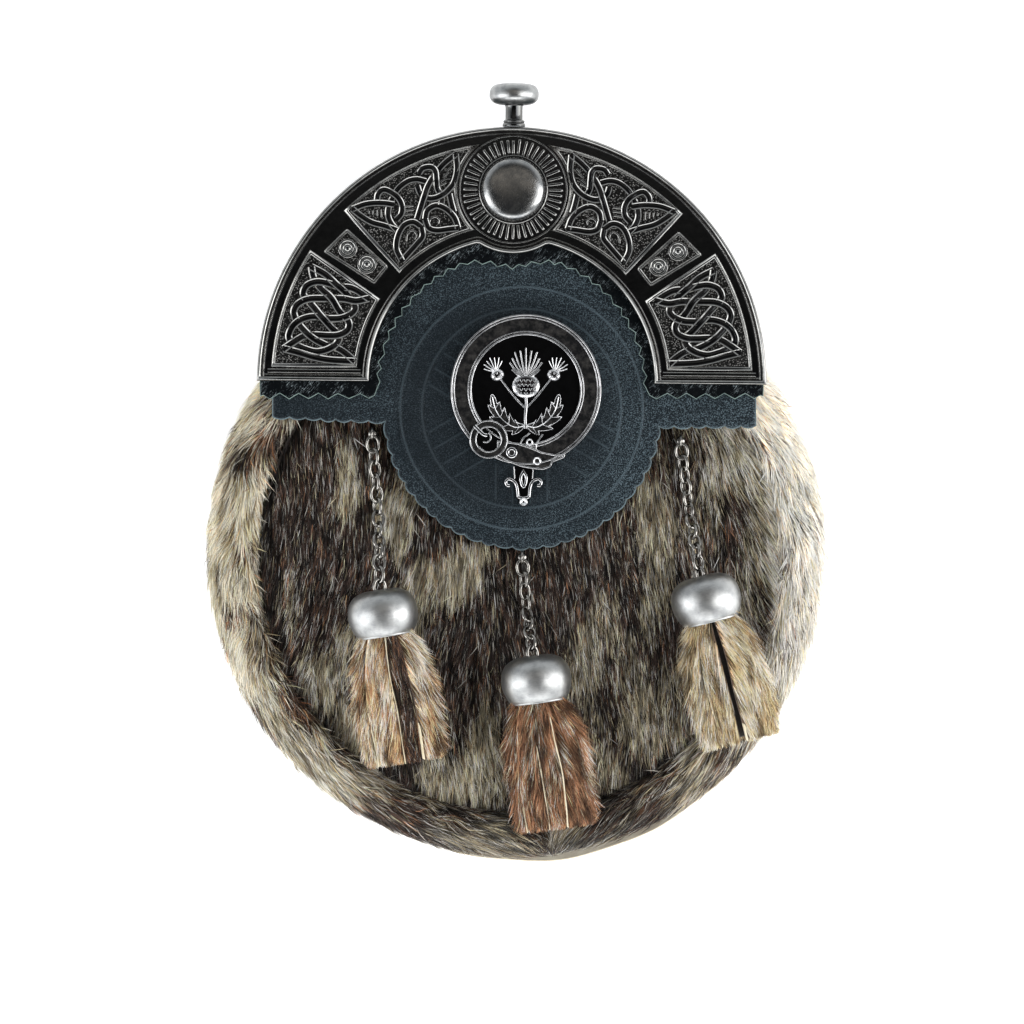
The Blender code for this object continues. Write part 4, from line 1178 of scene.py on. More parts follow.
def leather_sheet(name: str, outline: Array, bottom: float, top: float, lip: float, face: str, cut: str,
                  slot_name: str, node: str, holes: Sequence[Array] = (),
                  sag: Callable[[float, float], float] = lambda _x, _y: 0.0) -> None:
    """A flat piece of leather with a softly rounded cut edge.

    Args:
        name: the piece's name.
        outline: its outline.
        bottom: the height of its underside.
        top: the height of its top.
        lip: the width of the rounded edge.
        face: the finish of both faces.
        cut: the finish of the cut edge.
        slot_name: the material slot's name, handed on to Mould.cast.
        node: the CAD node that it stands for.
        holes: holes through it.
        sag: a height to add at each place.
    """
    mould, inner = Mould(), []
    outline = anticlockwise(outline)
    for loop in (outline, *(anticlockwise(hole)[::-1] for hole in holes)):
        miters = outward_miters(loop, True) * lip
        inner.append(loop + miters)
        rings = ((loop, bottom + 0.05), (loop, top - lip * 0.8), (loop + miters * 0.3, top - lip * 0.25),
                 (loop + miters, top))
        mould.wall([(ring, np.array([height + sag(*place) for place in ring])) for ring, height in rings], 1)
    mould.plane(inner, lambda x, y: top + sag(x, y), 0, holes=len(holes))
    mould.plane([outline, *holes], lambda x, y: bottom + 0.05 + sag(x, y), 2, facing_up=False, holes=len(holes))
    mould.cast(name, (face, cut, face), slot_name, (node,), 50.0)


@dataclass(frozen=True)
class Flap:
    """The leather flap with its disc-shaped tongue, embossed with two circles and six groups of lines.

    Attributes:
        wing_left: x and y at the left wing's outer end, and y where its lower edge meets the disc.
        wing_right: the same for the right wing.
        pitch: the length of a scallop.
        rise: how far a scallop stands out.
        ring_line: the half width and depth of an embossed circle.
        spoke_line: the half width and depth of an embossed straight line.
        radii: the spans of the embossed face, as (start, end, step), fine where a circle lies.
    """

    lid: Lid = Lid()
    bottom: float = 37.8
    top: float = 39.8
    radius: float = 73.6
    disc_centre: Pair = (2.1, 20.2)
    disc_radius: float = 40.7
    wing_left: Triple = (-71.7, 18.1, 16.6)
    wing_right: Triple = (71.2, 15.4, 15.2)
    pitch: float = 4.7
    rise: float = 0.8
    emboss_centre: Pair = (1.9, 20.6)
    embossed: Pair = (14.0, 37.8)
    rings: Pair = (35.8, 29.4)
    ring_line: Pair = (0.42, 0.11)
    spokes: int = 6
    spoke_start: float = 16.6
    spoke_offsets: tuple[float, ...] = (-7.6, -2.6, 2.6, 7.6)
    spoke_line: Pair = (0.4, 0.1)
    radii: tuple[Triple, ...] = ((16.0, 28.3, 0.62), (28.3, 30.6, 0.22), (30.8, 34.6, 0.95), (34.6, 37.0, 0.22))

    def outline(self) -> Array:
        """The flap's outline, anticlockwise from the left wing.

        Returns:
            Rows of (x, y).
        """
        chance = np.random.default_rng(5)
        (centre_x, centre_y), reach = self.disc_centre, self.disc_radius
        (left_x, left_outer, left_inner), (right_x, right_outer, right_inner) = self.wing_left, self.wing_right
        left_end, right_end = (math.sqrt(reach ** 2 - (inner - centre_y) ** 2) for inner in (left_inner, right_inner))
        first = 180.0 + math.degrees(math.asin((centre_y - left_inner) / reach))
        last = 360.0 - math.degrees(math.asin((centre_y - right_inner) / reach))
        routes = (np.array(((left_x, left_outer), (centre_x - left_end, left_inner))),
                  arc(self.disc_centre, reach, first, last, 90),
                  np.array(((centre_x + right_end, right_inner), (right_x, right_outer))))
        shoulders = (math.degrees(math.acos((x - self.lid.centre[0]) / self.radius)) for x in (right_x, left_x))
        left, tongue, right = (edged(route, self.pitch, self.rise, False, chance) for route in routes)
        return np.vstack((left[:-1], tongue[:-1], right, arc(self.lid.centre, self.radius, *shoulders, 80)))

    def groove(self, away: Array, half: float, depth: float) -> Array:
        """The rise of an embossed line between its two grooves."""
        ridge = depth * np.exp(-(away / half) ** 2)
        return ridge - 0.5 * depth * np.exp(-((np.abs(away) - 1.9 * half) / (0.8 * half)) ** 2)

    def embossing(self, x: Array, y: Array) -> Array:
        """The pressed pattern.

        Args:
            x: first coordinates from the pattern's centre.
            y: second coordinates.

        Returns:
            Heights.
        """
        radius = np.hypot(x, y)
        height = np.zeros_like(x)
        for ring in self.rings:
            height += self.groove(radius - ring, *self.ring_line)
        for spoke in range(self.spokes):
            turn = FULL_TURN * (spoke + 0.5) / self.spokes
            along = x * math.cos(turn) + y * math.sin(turn)
            across = -x * math.sin(turn) + y * math.cos(turn)
            end = np.sqrt(np.maximum(self.rings[1] ** 2 - across ** 2, 0.0)) - 0.8
            reach = 1.0 / (1.0 + np.exp((along - end) * 6.0)) / (1.0 + np.exp((self.spoke_start - along) * 3.0))
            for offset in self.spoke_offsets:
                height += self.groove(across - offset, *self.spoke_line) * reach
        return height

    def tongue_face(self) -> None:
        """Makes the embossed face of the tongue, just above the flap."""
        inner, outer = self.embossed
        radii = np.concatenate((np.linspace(inner, 15.4, 4), *(np.arange(*part) for part in self.radii),
                                (outer - 0.4, outer)))[:, None]
        turns = np.radians(np.arange(0.0, 360.0, 0.75))
        x, y = radii * np.cos(turns), radii * np.sin(turns)
        edge = ramp(-radii, -radii[-1], 0.4)
        height = self.top + 0.05 * edge - 0.01 + self.embossing(x, y) * edge
        mould = Mould()
        mould.sheet(stacked(x + self.emboss_centre[0], y + self.emboss_centre[1], height)[::-1], wrap_columns=True)
        mould.cast("flap_embossing", ("flap_pressed",), "black_leather", sharp=None)

    def surround(self) -> None:
        """Makes the smooth top layer of the flap round the embossing."""
        outline = anticlockwise(self.outline())
        inner = inset(outline, 0.7)
        mould = Mould()
        mould.wall(((inset(outline, 0.34), self.top - 0.38), (inset(outline, 0.42), self.top - 0.12),
                    (inner, self.top)))
        mould.plane([inner, circle(self.emboss_centre, self.embossed[1] - 0.1, 120)], self.top, holes=1)
        mould.plane([circle(self.emboss_centre, self.embossed[0] + 0.4, 60)], self.top + 0.02)
        mould.cast("flap_face", ("flap_black",), "black_leather", sharp=50.0)

    def make(self) -> None:
        """Makes the flap."""
        leather_sheet("flap_leather", self.outline(), self.bottom, self.top - 0.36, 0.32, "flap_black",
                      "scalloped_edge", "black_leather", "flap")
        self.surround()
        self.tongue_face()


@dataclass(frozen=True)
class Backing:
    """The creased leather behind the cantle, its free edges pinked."""

    lid: Lid = Lid()
    bottom: float = 40.1
    top: float = 41.3
    radius: float = 74.3
    foot_y: float = 24.1
    foot_teeth: Pair = (5.4, 0.85)
    inner_teeth: Pair = (4.3, 0.6)
    side_drop: float = 2.6
    top_drop: float = 1.8

    def outline(self) -> Array:
        """The outline, anticlockwise.

        Returns:
            Rows of (x, y).
        """
        chance = np.random.default_rng(6)
        centre = self.lid.centre
        start = -math.degrees(math.asin((centre[1] - self.foot_y) / self.radius))
        outer = arc(centre, self.radius, start, 180.0 - start, 90)
        reach = self.lid.arch_radius - 2.4
        spread = np.linspace(-9.0, 9.0, 13)
        inner = np.array([polar(float(np.mean([self.lid.inner_radius(angle + step) for step in spread]))
                                - self.side_drop - self.top_drop * max(0.0, math.sin(math.radians(angle))),
                                angle, centre) for angle in np.linspace(180.0 - start, start, 120)])
        routes = ((np.array((outer[-1], (centre[0] - reach, self.foot_y))), self.foot_teeth),
                  (inner, self.inner_teeth),
                  (np.array(((centre[0] + reach, self.foot_y), outer[0])), self.foot_teeth))
        return np.vstack((outer, *(edged(route, *teeth, True, chance, 6)[1:-1] for route, teeth in routes)))

    def sag(self, x: float, y: float) -> float:
        """The creased leather's rise and fall."""
        return 0.09 * math.sin(x / 3.1 + 0.8 * math.sin(y / 4.0)) * math.sin(y / 2.7 + 0.6 * math.sin(x / 5.0)) - 0.1

    def make(self) -> None:
        """Makes the backing."""
        leather_sheet("backing_leather", self.outline(), self.bottom + 0.15, self.top, 0.18, "backing_black",
                      "pinked_edge", "creased_leather", "cantle_backing", sag=self.sag)


@dataclass(frozen=True)
class Band:
    """The leather band over the top, which joins the back to the flap."""

    lid: Lid = Lid()
    start: float = 20.0
    end: float = 160.0
    section: Places = (
        (70.4, 2.6), (72.4, 2.6), (74.2, 12.0), (74.2, 28.0), (72.4, 37.5), (70.4, 37.5), (72.0, 28.0),
        (72.0, 12.0),
    )

    def make(self) -> None:
        """Makes the band."""
        ring = np.vstack((smooth_run(self.section[1:5], 6), smooth_run((*self.section[5:], self.section[0]), 4)))
        angles = np.radians(np.linspace(self.start, self.end, 90))[:, None]
        mould = Mould()
        mould.sheet(stacked(self.lid.centre[0] + ring[:, 0] * np.cos(angles),
                            self.lid.centre[1] + ring[:, 0] * np.sin(angles), ring[:, 1])[::-1],
                    wrap_columns=True, caps=True)
        mould.slots[-2:] = [1, 1]
        mould.cast("band_leather", ("flap_black", "scalloped_edge"), "black_leather", ("lid_band",), 50.0)


@dataclass(frozen=True)
class Back:
    """The flat hide back with its belt slits."""

    lid: Lid = Lid()
    lower_centre: Pair = (3.5, -31.8)
    lower_radius: float = 84.2
    upper_radius: float = 72.5
    thickness: float = 2.3
    slit_places: tuple[float, ...] = (-46.0, -24.0, 24.0, 46.0)
    slit_size: Pair = (3.0, 30.0)
    slit_middle: float = 60.0

    def make(self) -> None:
        """Makes the back."""
        lower, upper = np.array(self.lower_centre), np.array(self.lid.centre)
        between = upper - lower
        lean = math.degrees(math.atan2(between[1], between[0]))
        spread = math.degrees(math.acos((self.lower_radius - self.upper_radius) / np.linalg.norm(between)))
        bottom = arc(lower, self.lower_radius, lean + spread, lean - spread + 360.0, 150)
        wave = np.linspace(0.0, 1.0, len(bottom))
        shrink = (0.25 * (1.0 - np.cos(wave * 61.0)) * np.sin(wave * math.pi)
                  + 0.2 * (1.0 - np.cos(wave * 23.0 + 1.0)))
        bottom = bottom - unit(bottom - lower) * shrink[:, None]
        top = arc(upper, self.upper_radius, lean - spread, lean + spread, 90)
        half_width, half_length = self.slit_size[0] / 2.0, self.slit_size[1] / 2.0
        slits = [np.vstack([arc((x, self.slit_middle + half_length * end), half_width, start, start + 180.0, 8)
                            for end, start in ((1.0, 0.0), (-1.0, 180.0))]) for x in self.slit_places]
        leather_sheet("back_hide", np.vstack((bottom[:-1], top[:-1])), -0.05, self.thickness, 0.35, "pale_hide",
                      "hide_edge", "pale_hide", "back_panel", slits)


# -------------------------------------------------------------------------------------------- the metal

STRAND_STEP = 0.36
STRAND_PROFILE = (
    (-0.5, -0.55), (-0.5, 0.34), (-0.42, 0.56), (-0.32, 0.36), (-0.25, 0.31), (-0.1, 0.31), (0.0, 0.42),
    (0.1, 0.31), (0.25, 0.31), (0.32, 0.36), (0.42, 0.56), (0.5, 0.34), (0.5, -0.55),
)
FILLET_PROFILE = ((-0.5, -0.08), (-0.4, 0.36), (0.0, 0.48), (0.4, 0.36), (0.5, -0.08))


@dataclass(frozen=True)
class Chart:
    """A knot charted on small squares: x is counted to the right and y down from the corner."""

    corner: Pair
    square: float
    width: float
    runs: tuple[Places, ...]
    profile: Places = STRAND_PROFILE

    def routes(self) -> list[Array]:
        """The strands in the cantle's own frame, each ending where it meets a corner."""
        return [evenly(smooth_run(run) * (self.square, -self.square) + self.corner, STRAND_STEP) for run in self.runs]

    def section(self) -> Array:
        """The section of a strand."""
        return np.array(self.profile) * (self.width, 1.0)


PLAIT = Chart((-74.2, 44.85), 0.32, 2.45, (
    ((47, 36), (60, 43), (70, 52), (79, 60), (86, 69), (87, 75), (82, 80), (74, 83), (64, 83.5)),
    ((64, 83.5), (54, 82), (46, 82), (37, 85), (30, 91), (26.5, 100), (30, 106), (40, 111)),
    ((40, 111), (52, 114), (64, 111), (71.5, 105), (72.5, 98), (66, 92), (56, 81), (48, 71.5), (42, 65.5)),
    ((42, 65.5), (39.5, 60), (43, 53), (52, 49.7), (62, 51), (72, 54), (85, 55.5), (100, 64.5)),
    ((100, 64.5), (88, 67), (76, 65), (60, 65), (45, 65.5), (35, 70), (31, 77), (33, 85)),
    ((33, 85), (38.5, 92), (48, 101), (60, 107.5), (72, 111), (80, 116), (87.5, 122.5)),
    ((87.5, 122.5), (65, 121.5), (50, 119), (36, 115), (22, 111.5)),
    ((22, 111.5), (30, 106), (40, 100), (50, 98.5), (62, 99), (72, 98.5), (80, 94.5), (82, 88), (79, 82)),
    ((79, 82), (73, 76.5), (65, 64), (56, 56), (50.5, 49), (48, 43), (47, 36)),
))
CURL = Chart((-50.6, 74.35), 0.3, 2.15, (
    ((55, 100), (43, 96), (30, 92.5), (19, 86), (11, 79.5)),
    ((11, 79.5), (25, 74.5), (40, 73.5), (52, 75)),
    ((83, 52), (74, 50), (65, 52), (56, 59), (50.5, 68), (47, 76), (46, 85), (49, 93), (55, 100)),
    ((54, 90), (59, 84), (59.5, 75.5), (55.5, 68), (48, 62.5), (41, 60.5), (36, 65), (35, 71)),
    ((112, 25), (100, 35), (90.5, 46.5), (84.5, 57), (81.5, 66), (79, 74), (74.5, 89)),
    ((74.5, 56.5), (77.5, 64), (85, 68.5), (94, 67.5), (103, 62), (110, 53), (113, 40), (112, 25)),
    ((76, 44), (80, 39), (88, 38), (92, 42), (93, 50), (94, 59), (98.5, 67), (98, 75)),
    ((106, 64), (108, 73), (110.5, 81.5)),
    ((115, 97.5), (111, 87), (103, 79), (93, 75.5), (84.5, 80.5), (82.5, 89)),
    ((82.5, 89), (86, 97.5), (94, 100), (106, 98.5), (115, 97.5)),
    ((60, 130), (54.5, 118), (56, 105), (62, 95), (71, 92), (79, 97)),
    ((79, 97), (80, 106), (74, 114), (67, 122), (60, 130)),
))
CURL_FILLETS = Chart((-50.6, 74.35), 0.3, 0.7, (
    ((88, 96), (87, 90), (92, 86.5), (96, 89), (95, 93)),
    ((64, 111), (65, 104), (70, 100), (74, 104), (72, 109)),
    ((31, 81), (31.5, 85)), ((35, 80.5), (35.5, 86.5)), ((39, 80), (39.5, 87.5)), ((27, 81.5), (27.3, 84)),
    ((97, 53), (102, 49)), ((95, 57), (103, 53)), ((100, 47), (105, 43)), ((103, 42), (107, 38)),
    ((62, 77), (71, 76)), ((62, 81), (71, 80)), ((62, 85), (70, 84)),
), FILLET_PROFILE)


@dataclass(frozen=True)
class Weave:
    """Lifts the strands of a knot over and under each other where they cross."""

    routes: Sequence[Array]
    width: float

    @staticmethod
    def side_of(start: Array, end: Array, place: Array) -> Array:
        """Which side of a line each place lies on, by its sign."""
        return ((end[..., 0] - start[..., 0]) * (place[..., 1] - start[..., 1])
                - (end[..., 1] - start[..., 1]) * (place[..., 0] - start[..., 0]))

    def meetings(self, one: Array, two: Array) -> list[list[int]]:
        """Where the sides of two routes cut each other.

        Args:
            one: a route.
            two: another route, or the same one.

        Returns:
            Pairs of side numbers.
        """
        a, b, c, d = one[:-1, None], one[1:, None], two[None, :-1], two[None, 1:]
        pairs = np.argwhere((self.side_of(a, b, c) * self.side_of(a, b, d) < 0.0)
                            & (self.side_of(c, d, a) * self.side_of(c, d, b) < 0.0))
        return (pairs[pairs[:, 1] > pairs[:, 0] + 3] if one is two else pairs).tolist()

    def lifts(self, over: float, under: float) -> list[Array]:
        """The height to add along each strand.

        Args:
            over: the rise of a strand that passes over.
            under: the drop of one that passes under.

        Returns:
            One array of heights a strand.
        """
        crossings = [((first, i), (second + first, j)) for first, one in enumerate(self.routes)
                     for second, two in enumerate(self.routes[first:]) for i, j in self.meetings(one, two)]
        events = sorted((*end, number) for number, ends in enumerate(crossings) for end in ends)
        decided: dict[int, bool] = {}
        lifts = [np.zeros(len(route)) for route in self.routes]
        high = True
        for strand, place, number in events:
            high = not decided[number] if number in decided else high
            decided.setdefault(number, high)
            steps = np.arange(len(self.routes[strand])) - place
            shape = np.exp(-(steps * STRAND_STEP / (0.72 * self.width)) ** 2)
            lifts[strand] += shape * (over if high else -under)
            high = not high
        return lifts


def half_round(half: float, rise: float) -> list[Pair]:
    """The section of a line of metal with a round top."""
    turns = (math.radians(turn) for turn in range(180, -1, -30))
    return [(half * math.cos(turn), rise * math.sin(turn)) for turn in turns]


@dataclass(frozen=True)
class Cantle:
    """The cast arch: rims, framed panels, knots, ring bosses and the ribs of the medallion.

    Attributes:
        back: the height of its underside.
        face: the height of its plate.
        ground: the height of the panels' stippled ground.
        boss_corners: the corners of the middle panel, as (radius, angle).
        weave: the rise of a strand that passes over another and the drop of one that passes under.
        rings: the medallion's rings, as (radius, half width, rise).
        rib_slope: how far a rib's ends drop, as (share of its length, drop).
    """

    lid: Lid = Lid()
    plate: Mould = field(default_factory=Mould)
    raised: Mould = field(default_factory=Mould)
    stippled: Mould = field(default_factory=Mould)
    radius: float = 75.0
    foot_y: float = -0.3
    back: float = 41.6
    face: float = 43.6
    ground: float = 43.72
    rim_profile: Places = (
        (0.0, -1.7), (0.0, 0.5), (0.14, 0.86), (0.4, 1.16), (0.78, 1.28), (1.1, 1.08), (1.26, 0.55), (1.4, 0.3),
        (1.62, 0.3), (1.76, 0.5), (1.95, 0.56), (2.12, 0.4), (2.25, 0.0),
    )
    frame_profile: Places = (
        (-0.08, -0.02), (-0.05, 0.44), (0.2, 0.66), (0.45, 0.44), (0.55, 0.3), (0.66, 0.3), (0.88, 0.48),
        (1.1, 0.3), (1.14, 0.05),
    )
    foot_profile: Places = ((-0.8, 0.0), (-0.72, 0.4), (-0.4, 0.66), (0.3, 0.66), (0.62, 0.4), (0.7, 0.0))
    curl_radii: Pair = (46.0, 70.6)
    curl_ends: Pair = (136.4, 135.0)
    curl_hollow: float = 16.5
    hollow_ends: Pair = (228.0, 128.0)
    boss_corners: Places = ((66.3, 137.4), (67.5, 145.9), (49.5, 145.1), (49.6, 137.3))
    corner_cut: float = 0.9
    plait_radii: Pair = (45.8, 70.9)
    plait_ends: Pair = (148.2, 147.2)
    plait_foot: float = 3.8
    weave: Pair = (0.24, 0.34)
    bosses: Pair = (62.2, 54.9)
    boss_angle: float = 141.4
    boss_section: Places = (
        (0.0, 0.72), (0.45, 0.66), (0.8, 0.4), (0.95, 0.26), (1.15, 0.3), (1.35, 0.56), (1.6, 0.62), (1.8, 0.46),
        (1.92, 0.22), (2.1, 0.22), (2.3, 0.5), (2.6, 0.6), (2.85, 0.4), (2.95, -0.1),
    )
    rings: tuple[Triple, ...] = ((15.75, 0.32, 0.42), (9.95, 0.3, 0.5))
    ribs: int = 48
    rib_ends: Pair = (10.25, 14.9)
    rib_profile: Places = ((-0.46, 0.0), (-0.45, 0.4), (-0.2, 0.66), (0.2, 0.66), (0.45, 0.4), (0.46, 0.0))
    rib_slope: Places = ((0.0, 0.62), (0.06, 0.12), (0.2, 0.0), (0.8, 0.0), (0.94, 0.12), (1.0, 0.62))

    def arch(self) -> Array:
        """The arch's outline in its own frame, anticlockwise.

        Returns:
            Rows of (x, y).
        """
        radii = (self.radius, self.lid.arch_radius)
        first, second = (math.degrees(math.asin(self.foot_y / radius)) for radius in radii)
        inner = [polar(self.lid.inner_radius(angle), angle) for angle in np.linspace(180.0 - second, second, 161)]
        return np.vstack((arc((0.0, 0.0), self.radius, first, 180.0 - first, 160), inner))

    def meeting(self, radius: float) -> float:
        """Where the curl panel's hollow meets a circle about the arch's centre.

        Args:
            radius: the circle's radius.

        Returns:
            The angle about the arch's centre, on the left.
        """
        apart = self.lid.medallion_y
        y = (radius ** 2 + apart ** 2 - self.curl_hollow ** 2) / (2.0 * apart)
        return math.degrees(math.atan2(y, -math.sqrt(radius ** 2 - y ** 2)))

    def panels(self) -> list[Array]:
        """The outlines of the three panels on the left.

        Returns:
            Anticlockwise outlines.
        """
        middle, (inner, outer) = (0.0, 0.0), self.curl_radii
        curl = np.vstack((arc(middle, outer, self.meeting(outer), self.curl_ends[1], 22),
                          arc(middle, inner, self.curl_ends[0], self.meeting(inner), 16),
                          arc((0.0, self.lid.medallion_y), self.curl_hollow, *self.hollow_ends, 18)[1:-1]))
        inner, outer = self.plait_radii
        feet = [180.0 - math.degrees(math.asin(self.plait_foot / radius)) for radius in self.plait_radii]
        plait = np.vstack((arc(middle, outer, self.plait_ends[1], feet[1], 24),
                           arc(middle, inner, feet[0], self.plait_ends[0], 18)))
        boss = self.softened(np.array([polar(*corner) for corner in self.boss_corners]), self.corner_cut)
        return [anticlockwise(outline) for outline in (curl, boss, plait)]

    @staticmethod
    def softened(corners: Array, cut: float) -> Array:
        """An outline with its corners rounded.

        Args:
            corners: the corners.
            cut: how much of each side is rounded away.

        Returns:
            Rows of (x, y).
        """
        rounded = []
        for before, here, after in zip(np.roll(corners, 1, axis=0), corners, np.roll(corners, -1, axis=0)):
            start, end = here + unit(before - here) * cut, here + unit(after - here) * cut
            for share in np.linspace(0.0, 1.0, 5):
                rounded.append((1 - share) ** 2 * start + 2 * share * (1 - share) * here + share ** 2 * end)
        return np.array(rounded)

    def slab(self) -> None:
        """Adds the plate with its rims and the bars across its feet."""
        outline = self.arch()
        self.plate.bead(outline, self.rim_profile, self.face, closed=True)
        self.plate.plane([inset(outline, 2.2)], self.face)
        self.plate.plane([outline], self.back + 0.3, facing_up=False)
        foot = self.foot_y + 3.0
        for side in (-1.0, 1.0):
            ends = sorted((side * (self.radius - 3.2), side * (self.lid.arch_radius + 2.6)))
            self.plate.bead(np.array([(x, foot) for x in ends]), self.foot_profile, self.face)

    def relief(self, side: int) -> None:
        """Adds the frames, knots and bosses of one half.

        Args:
            side: 1 for the left, -1 for the right.
        """
        for panel in self.panels():
            outline = anticlockwise(panel * (side, 1.0))
            self.raised.bead(outline, self.frame_profile, self.face, closed=True)
            self.stippled.plane([inset(outline, 1.05)], self.ground)
        for chart in (PLAIT, CURL, CURL_FILLETS):
            routes = chart.routes()
            for route, lift in zip(routes, Weave(routes, chart.width).lifts(*self.weave)):
                self.raised.bead((route * (side, 1.0))[::side], chart.section(), self.ground + lift[::side])
        for radius in self.bosses:
            place = polar(radius, self.boss_angle) * (side, 1.0)
            self.raised.turned(self.boss_section, 28, Matrix.Translation(Vector((*place, self.ground))))

    def medallion(self) -> None:
        """Adds the ribs and rings round the dome."""
        centre = (0.0, self.lid.medallion_y)
        for radius, half, rise in self.rings:
            self.plate.bead(circle(centre, radius, 96), half_round(half, rise), self.face, closed=True)
        chance = np.random.default_rng(8)
        for rib in range(self.ribs):
            turn = 360.0 * rib / self.ribs + chance.normal(0.0, 0.35)
            start, end = (radius + chance.normal(0.0, uneven) for radius, uneven in zip(self.rib_ends, (0.08, 0.12)))
            route = np.array([polar(start + (end - start) * share, turn, centre) for share, _drop in self.rib_slope])
            self.plate.bead(route, self.rib_profile, self.face - np.array(self.rib_slope)[:, 1])

    def make(self) -> None:
        """Makes the cantle."""
        self.slab()
        self.medallion()
        for side in (1, -1):
            self.relief(side)
        matrix = self.lid.matrix()
        self.plate.cast("cantle_plate", ("cast_metal",), "blackened_metal", ("cantle",), 46.0, matrix)
        self.raised.cast("cantle_relief", ("cast_metal",), "blackened_metal", (), 60.0, matrix)
        self.stippled.cast("cantle_ground", ("stippled_metal",), "blackened_metal", (), None, matrix)


@dataclass(frozen=True)
class Turnings:
    """The polished dome and the knob."""

    lid: Lid = Lid()
    dome: Places = (
        (0.0, 4.6), (2.0, 4.57), (4.0, 4.48), (5.8, 4.31), (7.2, 4.06), (8.15, 3.72), (8.8, 3.2), (9.2, 2.4),
        (9.42, 1.3), (9.54, 0.3), (9.6, -0.3),
    )
    dome_z: float = 44.05
    knob: Places = (
        (0.0, 12.6), (3.4, 12.55), (5.0, 12.4), (6.1, 12.0), (6.8, 11.3), (7.2, 10.4), (7.3, 9.4), (7.2, 8.5),
        (6.8, 7.7), (6.0, 7.0), (4.8, 6.55), (3.4, 6.35),
    )
    neck: Places = (
        (0.0, 6.7), (3.0, 6.45), (2.75, 6.2), (2.6, 5.8), (2.55, 4.6), (2.55, 2.3), (2.7, 1.9), (3.1, 1.7),
        (3.15, 1.3), (2.95, 1.05), (3.3, 0.8), (3.4, 0.3), (3.3, 0.0),
    )
    knob_foot: Pair = (75.3, 41.6)

    def make(self) -> None:
        """Makes the dome and the knob."""
        dome, knob, matrix = Mould(), Mould(), self.lid.matrix()
        dome.turned(self.dome, 72, Matrix.Translation((0.0, self.lid.medallion_y, self.dome_z)))
        dome.cast("dome", ("dome_metal",), "brushed_pewter", ("cantle_dome",), None, matrix)
        upright = Matrix.Translation((0.0, *self.knob_foot)) @ Matrix.Rotation(math.radians(-90.0), 4, "X")
        knob.turned(smooth_run(self.knob, 3), 56, upright)
        knob.turned(smooth_run(self.neck, 2), 40, upright, 1)
        knob.cast("knob_turned", ("knob_metal", "neck_metal"), "brushed_pewter", ("knob",), 60.0, matrix)


